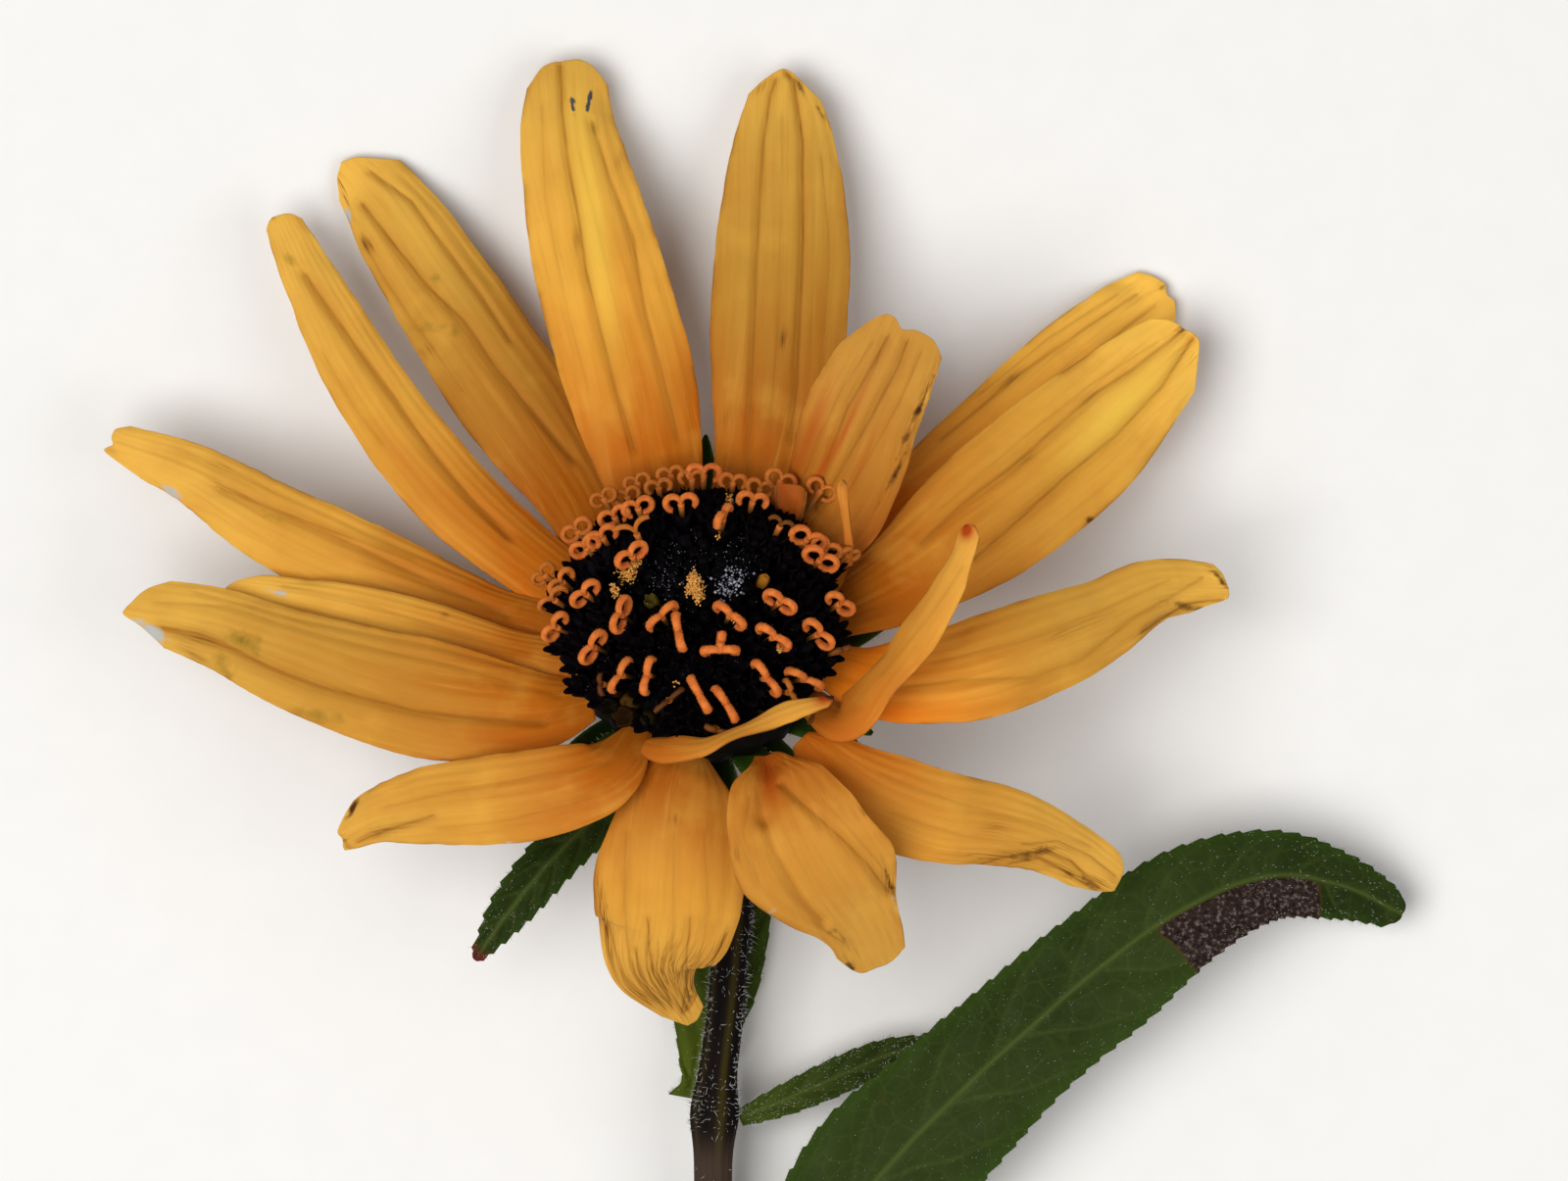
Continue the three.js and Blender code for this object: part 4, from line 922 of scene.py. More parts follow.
class SunflowerStage(bpy.types.PropertyGroup):
    """The floor, the light and the camera."""
    floor: tint("Floor", "Colour of the floor", "E9E7E3")
    key: FloatProperty(name="Key light", description="Power of the main light in watts",
                       default=12.0, min=0, max=500)
    fill: FloatProperty(name="Fill light", description="Power of the second light in watts",
                        default=5.0, min=0, max=500)
    sky: FloatProperty(name="Sky", description="Strength of the even light from all sides",
                       default=0.22, min=0, max=5)
    distance: span("Camera distance", "Height of the camera over the flower", 2.0, 0.5, 5)


def ray_material():
    """Golden petal: warm at its base, streaked along, with painted shade in the pleats, light marks
    that are painted highlights, painted light and shade along each ray, and dead, torn spots.

    Wrinkles are the thin lines where a noise, drawn out along the petal, crosses its middle.
    """
    p = bpy.context.scene.sunflower_rays
    s = Shader("ray petal", Roughness=0.6, Subsurface_Weight=0.15, Subsurface_Scale=0.0005,
               Specular_IOR_Level=0.06)
    s.surface.inputs["Subsurface Radius"].default_value = (1.0, 0.55, 0.12)
    streaks = s.noise(s.place((30, 1.4, 1)), detail=4, roughness=0.6)
    broad = s.noise(s.place((7, 0.9, 1)), detail=2)
    lines = s.noise(s.place((75, 5, 1)))
    mottle = s.grain(260)
    grit = s.grain(1500, detail=4)
    where = s.node("CombineXYZ", {"X": s.field("across"), "Y": s.field("reach")}).outputs[0]
    folds = s.noise(s.place((10, 3.5, 1), where))
    wrinkle = s.span(s.math("ABSOLUTE", s.math("SUBTRACT", folds, 0.5)), 0.0, 0.05, 1.0, 0.0)
    along = s.math("ADD", s.field("reach"), s.span(broad, 0.2, 0.8, -0.12, 0.12))
    base = s.ramp(along, [(0.0, tuple(c * 0.75 for c in p.base)), (0.17, p.base),
                          (0.52, p.middle), (0.9, p.tip)])
    base = s.coats(base, (s.share("warmth", 0.55), "C06A26"))
    # Painted light and shade: the ray's own setting darkens it as painted shade or brightens it as
    # painted light
    painted_light_and_shade_gain = s.math("SUBTRACT", 1.0, s.math("MULTIPLY", s.field("dim"), 0.25))
    base = s.mix(1.0, base, painted_light_and_shade_gain, "MULTIPLY")
    # Painted shade in the pleats: a thin dark core along each pleat over a fainter, broader shade,
    # broken by a streaky noise
    line = 0.0
    for key in FOLDS:
        fold = s.math("ABSOLUTE", s.field(key))
        line = s.math("MAXIMUM", line, s.span(fold, 0.1, 1.3, 1.0, 0.0))
    shade = s.math("MULTIPLY", s.field("pleat"), s.math("MULTIPLY_ADD", line, 0.58, 0.3))
    painted_groove_shade = s.math("MULTIPLY", shade, s.span(lines, 0.3, 0.6, 0.6, 1.0), clamp=True)
    thin = s.math("MULTIPLY", s.math("ADD", s.field("brown"), s.field("burnt")), wrinkle)
    # The light marks laid over these colours are painted highlights
    base = s.coats(
        base, (s.span(streaks, 0.5, 0.8, 0.0, 0.3), "AA6C1E"),
        (s.span(streaks, 0.45, 0.2, 0.0, 0.22), "EDB850"),
        (s.span(mottle, 0.5, 0.75, 0.0, 0.25), "B06C20"),
        (s.span(mottle, 0.45, 0.3, 0.0, 0.2), "E8B248"), (painted_groove_shade, p.groove[:]),
        (s.share("light", 0.7), "F2CC50"), (s.share("red", 0.9), "A8400E"),
        (s.share("brown", 0.42), "96601E"), (s.math("MULTIPLY", thin, 1.1, clamp=True), "5A300C"))
    ragged = s.span(s.math("ADD", grit, mottle), 0.7, 1.3, -0.5, 0.5)
    for name, shade, low, high in (("green", "7C6418", 0.15, 1.2), ("burnt", p.burnt[:], 0.4, 0.95),
                                   ("pale", "AEB0AA", 0.3, 0.8), ("blue", "34404E", 0.3, 0.5)):
        torn = s.math("MULTIPLY", ragged, s.span(s.field(name), 0.0, 0.2))
        amount = s.span(s.math("ADD", s.field(name), torn), low, high, 0.0, 0.95)
        base = s.coats(base, (amount, shade))
    worn = s.math("MULTIPLY", s.field("rim"), s.span(mottle, 0.45, 0.6), clamp=True)
    base = s.coats(base, (s.math("MULTIPLY", worn, 0.75), "7A4210"))
    return s.finish(base, s.span(streaks, 0.2, 0.8, 0.52, 0.68),
                    [(streaks, 0.00005, 0.5), (lines, 0.00002, 0.35), (mottle, 0.00008, 0.3),
                     (grit, 0.000012, 0.25)])


def floret_material():
    """Dark corolla: nearly black purple with faint patches of painted sheen, browner on its teeth.
    """
    p = bpy.context.scene.sunflower_disc
    s = Shader("floret", Roughness=0.45, Specular_IOR_Level=0.02)
    grain, painted_sheen_and_olive_grain = s.grain(1700), s.grain(420)
    olive = s.math("MULTIPLY", s.field("olive"), s.span(painted_sheen_and_olive_grain, 0.3, 0.65, 0.3, 1.0))
    # The faint purple patches are painted sheen on the buds; olive and amber are the florets' own
    # colours
    base = s.coats(p.corolla[:], (s.span(grain, 0.35, 0.75), "030203"),
                   (s.span(painted_sheen_and_olive_grain, 0.58, 0.75, 0.0, 0.5), "100E14"),
                   (s.share("tooth", 0.5), "12080A"), (olive, "4E4410"),
                   (s.field("amber"), "A0661E"))
    return s.finish(base, s.span(grain, 0.3, 0.7, 0.38, 0.7), [(grain, 0.00004, 0.5)])


def style_material():
    """Velvety orange arms on an olive post, with painted shade inside their curls, and brown where
    they have withered, which on the styles at the back is partly painted shade.
    """
    p = bpy.context.scene.sunflower_disc
    s = Shader("style", Roughness=0.7, Subsurface_Weight=0.15, Subsurface_Scale=0.0002,
               Specular_IOR_Level=0.15)
    grain = s.grain(2600)
    # The inner colour is painted shade inside the curls of the arms
    base = s.coats(p.style[:], (s.span(grain, 0.35, 0.65), "C06024"),
                   (s.share("inner", 0.7), "9A4416"), (s.field("post"), p.style_foot[:]),
                   (s.field("wither"), "A8641E"), (s.span(s.field("wither"), 0.75, 0.95), "5A300C"))
    return s.finish(base, None, [(grain, 0.00003, 0.6)])


def plain_material(name, first, second, scale, roughness=0.6):
    """A fine two-tone grain, for pollen, dust and hairs."""
    s = Shader(name, Roughness=roughness)
    return s.finish(s.mix(s.span(s.grain(scale, detail=2), 0.35, 0.65), first, second))


def cup_material():
    """Green bracts, paler at the edge, with painted shade near the top of the cup, under the
    florets.
    """
    p = bpy.context.scene.sunflower_greens
    s = Shader("cup green", Roughness=0.7, Specular_IOR_Level=0.04)
    grain = s.grain(900, detail=4)
    # The near-black colour on the rim is painted shade
    base = s.coats(p.cup[:], (s.span(grain, 0.3, 0.75), "1A2E0A"), (s.share("edge", 0.5), "4E6A24"),
                   (s.field("rim"), "0C0A06"))
    return s.finish(base, s.span(grain, 0.3, 0.7, 0.5, 0.75), [(grain, 0.00005, 0.6)])


def leaf_material():
    """Dull green, veined and netted, with a dead speckled patch and a red tip on the bract."""
    p = bpy.context.scene.sunflower_greens
    s = Shader("leaf skin", Roughness=0.6, Specular_IOR_Level=0.05)
    grain, broad = s.grain(520, detail=5, roughness=0.65), s.grain(80, detail=2)
    crumbs, cells, small = s.grain(4200), s.net(8), s.net(22)
    net = s.math("ADD", s.span(cells, 0.0, 0.07, 0.16, 0.0), s.span(small, 0.0, 0.1, 0.07, 0.0))
    dead = s.coats(p.blotch[:], (s.span(crumbs, 0.54, 0.7, 0.0, 0.5), "8A807A"),
                   (s.span(crumbs, 0.48, 0.3), "140E0E"))
    ragged = s.math("ADD", s.field("blotch"), s.span(grain, 0.2, 0.8, -0.4, 0.4))
    base = s.coats(
        p.leaf[:], (s.span(grain, 0.3, 0.75), "18220A"),
        (s.span(broad, 0.38, 0.65, 0.0, 0.6), "323E18"), (s.share("fresh", 0.85), "4A5410"),
        (net, "46561E"), (s.share("edge", 0.5), "2A4404"), (s.share("vein", 0.8), p.vein[:]),
        (s.field("rust"), "5E2220"), (s.span(ragged, 0.25, 0.5, 0.0, 0.7), "4A3416"))
    base = s.mix(s.span(ragged, 0.42, 0.58), base, dead)
    return s.finish(base, s.span(grain, 0.3, 0.7, 0.5, 0.75),
                    [(cells, 0.0001, 0.4), (small, 0.00004, 0.3), (grain, 0.00006, 0.55)])


def stem_material():
    """Purple-brown stalk with olive stripes, plainer and browner below its node."""
    p = bpy.context.scene.sunflower_greens
    s = Shader("stem skin", Roughness=0.65, Specular_IOR_Level=0.05)
    grain = s.grain(900, 220, 900, detail=4)
    base = s.coats(p.stalk[:], (s.span(grain, 0.3, 0.7), "0C0708"),
                   (s.share("stripe", 0.75), "3A320E"), (s.field("low"), "42342A"),
                   (s.field("cut"), "8A9050"))
    return s.finish(base, None, [(grain, 0.00006, 0.7)])


def floor_material():
    """Matt pale floor with a very faint tooth."""
    s = Shader("floor", Roughness=0.9)
    shade = bpy.context.scene.sunflower_stage.floor
    return s.finish(s.mix(s.span(s.grain(400, detail=2), 0.3, 0.7), shade[:],
                          tuple(c * 0.985 for c in shade)))


def away_from(points, line):
    """How far each plan point is from a line through pixels, below 0 on one side of it.

    It is the least of the distances to the line's straight parts, each of them to the nearest
    point between that part's ends.
    """
    x, y = seen(*np.array(line, float).T)
    best = np.full(points.shape[:-1], np.inf)
    for x0, y0, x1, y1 in zip(x, y, x[1:], y[1:]):
        dx, dy = x1 - x0, y1 - y0
        px, py = points[..., 0] - x0, points[..., 1] - y0
        along = np.clip((px * dx + py * dy) / (dx * dx + dy * dy), 0, 1)
        far = np.hypot(px - along * dx, py - along * dy)
        best = np.where(far < np.abs(best), np.copysign(far, py * dx - px * dy), best)
    return best


def ray_relief(name, rng, flat, reach, across, half, length):
    """How far a ray's sheet rises over its flat blade, how much painted shade lies along its pleats,
    and how far each point is from each of them, in the widths of their painted lines.

    The rise is the camber half c (1 - v^2), less the depth of each of the pleats
    e^-(distance / width)^2, plus fine veins cos(9 pi v), and an edge that waves.
    """
    p = bpy.context.scene.sunflower_rays
    u, v = reach[:, None], across[None, :]
    fade = np.sin(math.pi * np.clip(u * 0.93 + 0.04, 0, 1)) ** 0.6
    rise = half * RAYS[name].get("camber", 0.2) * (1 - v * v)
    painted_shade = np.zeros_like(half)
    folds = {key: 4 + painted_shade for key in FOLDS}
    for key, (depth, width, shade, *line) in zip(FOLDS, PLEATS.get(name, ())):
        away = away_from(flat, line)
        rise = rise - depth * np.exp(-(away / width) ** 2)
        # Painted shade along the pleat, broader than its groove
        painted_shade = np.maximum(painted_shade, shade * np.exp(-(away / (1.5 * width + 0.1)) ** 2))
        folds[key] = np.clip(away / (0.35 * width + 0.04), -4, 4)
    rise = rise + p.veins / MM * np.cos(9 * math.pi * v + 2 * ripple(rng, u, v * 0, 5, 1)) * fade
    wave = p.waviness / MM * ripple(rng, u * length, v, 0.8, 1.2)
    wave = wave * smoothstep(0.1, 0.5, u)
    return rise + wave * (v * v + 0.4), painted_shade, folds


def ray_marks(name, points, shape):
    """The strength of each kind of mark at each point: e^-(distance in the mark's own radii)^2."""
    fields = {k: np.zeros(shape) for k in MARK_KINDS}
    for kind, px, py, long, short, turn, strength in MARKS.get(name, ()):
        x, y = seen(px, py)
        dx, dy = points[..., 0] - x, points[..., 1] - y
        c, s = math.cos(math.radians(turn)), math.sin(math.radians(turn))
        far = ((dx * c + dy * s) / long) ** 2 + ((dy * c - dx * s) / short) ** 2
        mark = strength * np.exp(-0.8 * far * PIXELS_PER_MM ** 2)
        fields[kind] = np.maximum(fields[kind], mark)
    return fields


def setting_along(blade, key, t):
    """A blade's setting at t along it: the smooth curve through its values, or 0 without them."""
    return curve_at(np.array(blade.get(key, (0, 0)), float)[:, None], t)[0][..., 0]


def side_trim(blade, t, across):
    """How much wider than its rows say a blade is at t along it: its own distances per side."""
    return np.where(across[None, :] < 0, setting_along(blade, "left", t),
                    setting_along(blade, "right", t))


def even_columns(columns, bow):
    """Places across from -1 to 1 that crowd towards the edges, as the sine of an even turn."""
    return np.sin(np.linspace(-1, 1, columns) * bow) / math.sin(bow)


def make_ray(name, ray, rows, columns, material):
    """One ray: its sheet, as thick as the settings say in the middle and thin at the rim."""
    p = bpy.context.scene.sunflower_rays
    own = int(name[-2:])
    rng = np.random.default_rng(own)
    reach = 1 - (1 - np.linspace(0, 1, rows)) ** 1.15
    across = even_columns(columns, math.pi / 2 * 0.92)
    middle, side, normal, half, t, length = blade_frame(
        ray["rows"], reach, across, ray["end"], ray.get("shoulder", 1.9))
    u, v = reach[:, None], across[None, :]
    body = half * (1 + 0.015 * ripple(rng, u * length, np.sign(v) * 3, 0.7, 1))
    half = body + side_trim(ray, t, across) + 0.02 * ripple(rng, u * length, np.sign(v) * 3, 2.5, 1)
    flat = middle + side * (v * half)[..., None]
    rise, painted_shade, folds = ray_relief(name, rng, flat, reach, across, body, length)
    sheet = flat + normal * rise[..., None]
    marks = ray_marks(name, sheet, half.shape)
    crinkle = np.clip(marks["burnt"] + 0.5 * marks["brown"], 0, 1)
    rough = ripple(rng, u * length, v * half, 0.7, 5) + ripple(rng, u * length, v * half, 1.2, 8)
    sheet = sheet + normal * (0.07 * crinkle * rough)[..., None]
    thick = (p.thickness / MM / 2 * (0.3 + 0.7 * (1 - v ** 4)))[..., None]
    both = np.stack([sheet + normal * thick, sheet - normal * thick])
    both[..., 2] = np.maximum(both[..., 2], LEAST_HEIGHT)
    piece = Piece()
    piece.add_sheet(both, **marks, **folds, pleat=painted_shade, reach=t, rim=np.abs(v) ** 30,
                    across=v + 3.7 * own, warmth=ray.get("warmth", 0.0),
                    dim=setting_along(ray, "dim", t), u=v * half / 10 + own, v=u * length / 10)
    piece.make(name + "_petal", "ray", material, [name])


def make_scrap(rows, material):
    """The withered scrap: a small creased blade with brown sides, the right one folded up, painted
    shade along its crease, and its colour darkened by the setting of painted light and shade.
    """
    reach, across = (np.linspace(low, 1, n) for low, n in zip((0, -1), SCRAP_GRID))
    middle, side, normal, half, t, _ = blade_frame(rows, reach, across, round_end(0.3))
    u, v = reach[:, None], across[None, :]
    rise = 0.5 * half * smoothstep(0.2, 1, v) + 0.05 * np.sin(5 * v + 9 * u)
    sheet = middle + side * (v * half)[..., None] + normal * rise[..., None]
    brown = smoothstep(0.5, 0.95, np.abs(v))
    piece = Piece()
    piece.add_sheet(np.stack([sheet + normal * SCRAP_HALF, sheet - normal * SCRAP_HALF]),
                    reach=0.12 + 0.2 * t, warmth=1.5, dim=1.7, red=0.55, brown=brown,
                    burnt=0.6 * brown, pleat=np.exp(-((v + 0.1) / 0.2) ** 2), across=v + 90,
                    u=v * half / 10 + 30, v=u * 0.3)
    piece.make("disc_scrap", "ray", material)


class SUNFLOWER_OT_rays(bpy.types.Operator):
    """Builds the eighteen yellow rays"""
    bl_idname = "sunflower.rays"
    bl_label = "Rays"

    def execute(self, context):
        material = ray_material()
        for name, ray in RAYS.items():
            make_ray(name, ray, *(NARROW_RAY_GRID if name in NARROW_RAYS else RAY_GRID), material)
        rows = np.array(SCRAP)
        rows[:, 2] += dome_height(rows[:, 0], rows[:, 1])
        make_scrap(rows, material)
        return {"FINISHED"}


def feet_under(px, py, lift):
    """The feet on the dome of things that stand lift high and are seen at pixels.

    A foot is moved until the place lift above it along the dome's normal is seen at the pixel:
    each step adds what is still missing, undone of the head's lean.
    """
    want = np.stack(seen(px, py), -1)
    foot = np.zeros_like(want)
    for _ in range(SEARCH_STEPS):
        place, way = dome(foot[:, 0], foot[:, 1])
        miss = want - head_to_plan(place + way * lift)[:, :2]
        foot = foot + 0.5 * miss * np.array([1, 1 / math.cos(HEAD_LEAN)])
        far = np.linalg.norm(foot, axis=1, keepdims=True)
        foot = foot * np.minimum(1, FOOT_REACH / np.maximum(far, 1e-9))
    return foot


def style_feet():
    """The table of the styles and the foot of each on the dome."""
    table = np.array(STYLES)
    return table, feet_under(table[:, 0], table[:, 1], POST_LIFT)


def corollas(piece, x, y, open_share, size, olive=0.0, amber=0.0):
    """Florets on the dome: five-lobed, closed over when open_share is 0 and spread when it is 1.

    The rings of FLORET go up the tube and back down inside it. The lobes add a round tooth
    ((1 + cos 5 turn) / 2)^0.6 to the height and the spread.
    """
    place, way = dome(x, y)
    outwards = unit(np.stack([x, y, 0 * x], -1) + 1e-6)
    side = unit(outwards - way * (outwards * way).sum(-1, keepdims=True))
    other = np.cross(way, side)
    turn = around(FLORET_SIDES)
    t = (((1 + np.cos(5 * turn)) / 2) ** 0.6)[None, None, :]
    o, size = open_share[:, None, None], size[:, None, None]
    tube, radius, rise, spread, low, closed, worn = FLORET.T[:, None, :, None]
    r = (o * (radius + spread * t) + (1 - o) * closed * (1 - 0.12 * (1 - t))) * size
    h = (o * (tube + rise * t) + (1 - o) * low) * size
    points = (place[:, None, None] + way[:, None, None] * h[..., None]
              + side[:, None, None] * (r * np.cos(turn))[..., None]
              + other[:, None, None] * (r * np.sin(turn))[..., None])
    count, rings = points.shape[:2]
    quads = grid_faces(rings, FLORET_SIDES, wrap=True)
    k = np.arange(FLORET_SIDES)
    ends = np.stack([k[::-1], (rings - 1) * FLORET_SIDES + k])
    piece.add(head_to_plan(points), repeated((quads, ends), count, rings * FLORET_SIDES),
              tooth=np.broadcast_to(o * t * worn, r.shape),
              olive=np.ones_like(r) * np.reshape(olive, (-1, 1, 1)),
              amber=np.ones_like(r) * np.reshape(amber, (-1, 1, 1)))


class SUNFLOWER_OT_disc(bpy.types.Operator):
    """Builds the dome of florets: closed buds at the crown and toothed corollas round it"""
    bl_idname = "sunflower.disc"
    bl_label = "Disc florets"

    def execute(self, context):
        p = context.scene.sunflower_disc
        rng = np.random.default_rng(31)
        piece = Piece()
        turn = np.linspace(0, 2 * math.pi, DISC_SIDES, endpoint=False)
        radii = np.array(CROWN_RADII)
        crown = np.stack([radii, DISC_HEIGHT * (1 - (radii / DISC_RADIUS) ** 2) - CROWN_DROP], -1)
        profile = np.concatenate([DISC_RIM, crown])
        ring, faces = lathe(np.repeat(profile[:, :1], DISC_SIDES, 1), profile[:, 1:], turn)
        piece.add(head_to_plan(ring), faces, tooth=0.0, olive=0.0, amber=0.0)
        n = np.arange(p.buds)
        radius = DISC_REACH * ((n + 0.5) / p.buds) ** 0.56
        x, y = radius * np.cos(GOLDEN_ANGLE * n) - 0.3, radius * np.sin(GOLDEN_ANGLE * n)
        _, feet = style_feet()
        odd = np.array(ODD_FLORETS)
        spots = feet_under(odd[:, 0], odd[:, 1], FLORET_LIFT)
        taken = np.concatenate([feet, spots])
        near = np.hypot(x[:, None] - taken[:, 0], y[:, None] - taken[:, 1]).min(1)
        x, y, radius = (each[near > FLORET_ROOM] for each in (x, y, radius))
        spread = smoothstep(3.0, 4.6, radius + rng.uniform(-0.5, 0.5, len(x)))
        corollas(piece, x, y, spread, rng.uniform(0.88, 1.1, len(x)))
        corollas(piece, feet[:, 0], feet[:, 1], np.ones(len(feet)),
                 rng.uniform(0.98, 1.15, len(feet)))
        corollas(piece, spots[:, 0], spots[:, 1], odd[:, 2], odd[:, 3], odd[:, 4], odd[:, 5])
        piece.make("disc_florets", "disc", floret_material(), ["disc"])
        return {"FINISHED"}


class SUNFLOWER_OT_styles(bpy.types.Operator):
    """Builds the forked styles with their curled arms and the velvet on them"""
    bl_idname = "sunflower.styles"
    bl_label = "Styles"

    def execute(self, context):
        p = context.scene.sunflower_disc
        rng = np.random.default_rng(7)
        table, foot = style_feet()
        place, way = dome(foot[:, 0], foot[:, 1])
        fork, foot_at = head_to_plan(place + way * POST_LIFT), head_to_plan(place)
        want = np.concatenate([np.stack(seen(table[:, 0], table[:, 1]), -1), fork[:, 2:]], -1)
        fork = np.where(np.abs(want - fork) < FORK_SHIFT, want, fork)
        way = unit(fork - foot_at)
        aim = np.radians(table[:, 2])
        across = np.stack([np.cos(aim), np.sin(aim), 0 * aim], -1)
        across = unit(across - way * (across * way).sum(-1, keepdims=True))
        flat = np.cross(across, way)
        fresh, roll, turns = table[:, 5], table[:, 3], np.radians(table[:, 4])
        half_width = p.style_width / MM / 2 * (0.45 + 0.55 * fresh)
        # Brown of withering, and on the styles at the back partly painted shade
        wither = np.minimum(1.3 * (1 - fresh), 1)
        # Painted shade on the inner side of each arm's curl
        ring = np.clip(-np.cos(around(STYLE_SIDES)), 0, 1)
        piece, count = Piece(), len(table)
        for sign in (-1, 1):
            share = np.linspace(0, 1, STYLE_STEPS)[None, :]
            tau = share * turns[:, None] * rng.uniform(0.9, 1.1, (count, 1))
            size = (roll[:, None] * (1.06 - 0.2 * share))[..., None]
            along = across[:, None] * sign
            away = flat[:, None] * rng.uniform(-0.12, 0.12, (count, 1, 1)) * share[..., None]
            path = (fork[:, None] + along * size * (1 - np.cos(tau))[..., None]
                    + way[:, None] * size * np.sin(tau)[..., None] + away)
            slope = unit(along * np.sin(tau)[..., None] + way[:, None] * np.cos(tau)[..., None])
            outer = np.cross(flat[:, None] * sign, slope)
            broad = np.broadcast_to(flat[:, None], path.shape)
            width = half_width[:, None] * (0.86 + 0.24 * share - 0.4 * share ** 7
                                           - 0.16 * (1 - share) ** 3)
            points, faces = tubes(path, outer, broad * sign, 0.8 * width, width, STYLE_SIDES)
            inner = np.concatenate([np.tile(ring, (count, STYLE_STEPS)), np.zeros((count, 2))], 1)
            piece.add(points, faces, inner=inner, post=0.0,
                      wither=np.repeat(wither, points.shape[1]))
            roots, ways, i = [], [], np.arange(count)
            for _ in range(VELVET):
                k = rng.integers(2, STYLE_STEPS, count)
                angle = rng.choice([1.0, -1.0], count) * rng.uniform(0.9, 1.9, count)
                out = (outer[i, k] * np.cos(angle)[:, None] * 0.8
                       + broad[i, k] * np.sin(angle)[:, None])
                roots.append(path[i, k] + out * width[i, k][:, None] * 0.9)
                ways.append(unit(out + rng.normal(0, 0.25, out.shape)))
            roots, ways = np.concatenate(roots), np.concatenate(ways)
            points, faces = hairs(roots, ways, rng.uniform(*VELVET_LENGTHS, len(roots)),
                                  VELVET_RADIUS, 0 * ways)
            piece.add(points, faces, inner=0.0, post=0.0,
                      wither=np.repeat(np.tile(wither, VELVET), points.shape[1]))
        share = np.linspace(0, 1, POST_STEPS)[None, :]
        path = foot_at[:, None] + (fork - foot_at)[:, None] * (0.15 + 0.85 * share)[..., None]
        radius = np.broadcast_to(0.14 + 0.05 * share ** 3, path.shape[:2])
        points, faces = tubes(path, np.broadcast_to(across[:, None], path.shape),
                              np.broadcast_to(np.cross(way, across)[:, None], path.shape),
                              radius, radius, STYLE_SIDES)
        post = np.tile(np.repeat(1 - share ** 4, STYLE_SIDES, 1), (count, 1))
        post = np.concatenate([post, np.ones((count, 1)), np.zeros((count, 1))], 1)
        piece.add(points, faces, inner=0.0, post=post,
                  wither=np.repeat(1 - fresh, points.shape[1]) * 0.5)
        piece.make("disc_styles", "disc", style_material())
        return {"FINISHED"}


class SUNFLOWER_OT_pollen(bpy.types.Operator):
    """Scatters pollen: yellow clusters on some florets, and pale specks on the crown, partly dust
    and partly painted glints
    """
    bl_idname = "sunflower.pollen"
    bl_label = "Pollen"

    def execute(self, context):
        p = context.scene.sunflower_disc
        rng = np.random.default_rng(19)
        yellow, dust_and_painted_glints = Piece(), Piece()
        for px, py, wide, tall, count in POLLEN:
            x, y = seen(px + rng.normal(0, wide * 0.6, count),
                        py + rng.normal(0, tall * 0.6, count))
            at = seen(px, py)
            far = np.hypot(x - at[0], y - at[1])
            heap = dome_height(x, y) + HEAP_HEIGHT - HEAP_FALL * far
            places = np.stack([x, y, heap + rng.uniform(-HEAP_DEPTH, HEAP_DEPTH, count)], -1)
            yellow.add(*grains(places, rng.uniform(*GRAIN_RADII, count)))
        # Pale specks, partly dust and partly painted glints
        for px, py, wide, tall, count, size in DUST_AND_PAINTED_GLINTS:
            x, y = seen(px + rng.normal(0, wide, count), py + rng.normal(0, tall, count))
            places = np.stack([x, y, dome_height(x, y) + rng.uniform(*DUST_AND_PAINTED_GLINT_HEIGHTS, count)], -1)
            dust_and_painted_glints.add(*grains(places, size * rng.uniform(0.5, 1, count) ** 2 * DUST_AND_PAINTED_GLINT_RADIUS))
        for piece, name, first, second, scale in (
                (yellow, "pollen", p.pollen[:], "CE8526", 3000),
                (dust_and_painted_glints, "dust_and_painted_glints", colour("B0B0BC"), "3C3C48", 2600)):
            piece.make("disc_" + name, "disc", plain_material(name, first, colour(second), scale))
        return {"FINISHED"}


def dome_height(x, y):
    """The height of the dome under a plan point, by halving the miss of its head point."""
    hx, hy = np.asarray(x, float), np.zeros_like(x)
    for _ in range(SEARCH_STEPS):
        place, _ = dome(hx, hy)
        hy = hy + 0.5 * (y - head_to_plan(place)[..., 1]) / math.cos(HEAD_LEAN)
        hy = np.clip(hy, -DISC_REACH, DISC_REACH)
    return head_to_plan(dome(hx, hy)[0])[..., 2]


def make_bract(piece, angle, rows, rng, curl):
    """One phyllary: a narrow keeled blade that leaves the cup at an angle round it."""
    reach, across = (np.linspace(low, 1, n) for low, n in zip((0, -1), PHYLLARY_GRID))
    middle, side, normal, half, _, _ = blade_frame(rows, reach, across, round_end(0.4))
    v, u = across[None, :], reach[:, None]
    lift = -0.2 * np.abs(v) * half + curl * u ** 3 + 0.06 * ripple(rng, u * 5, v, 1, 1)
    sheet = middle + side * (v * half)[..., None] + normal * lift[..., None]
    thick = (PHYLLARY_HALF * (1 - 0.6 * v ** 4))[..., None]
    both = np.stack([sheet + normal * thick, sheet - normal * thick])
    c, s = math.cos(angle), math.sin(angle)
    both = np.stack([both[..., 0] * c - both[..., 1] * s, both[..., 0] * s + both[..., 1] * c,
                     both[..., 2]], -1)
    piece.add_sheet(head_to_plan(both), edge=np.abs(v) ** 3)
    rim = both[0][2:, [0, -1]].reshape(-1, 3)
    centre = both[0][2:, [len(across) // 2] * 2].reshape(-1, 3)
    picks = np.repeat(np.arange(len(rim)), 2)
    roots = rim[picks] + rng.normal(0, 0.05, (len(picks), 3))
    return head_to_plan(roots), turned_with_head(unit(rim - centre + 1e-6)[picks])


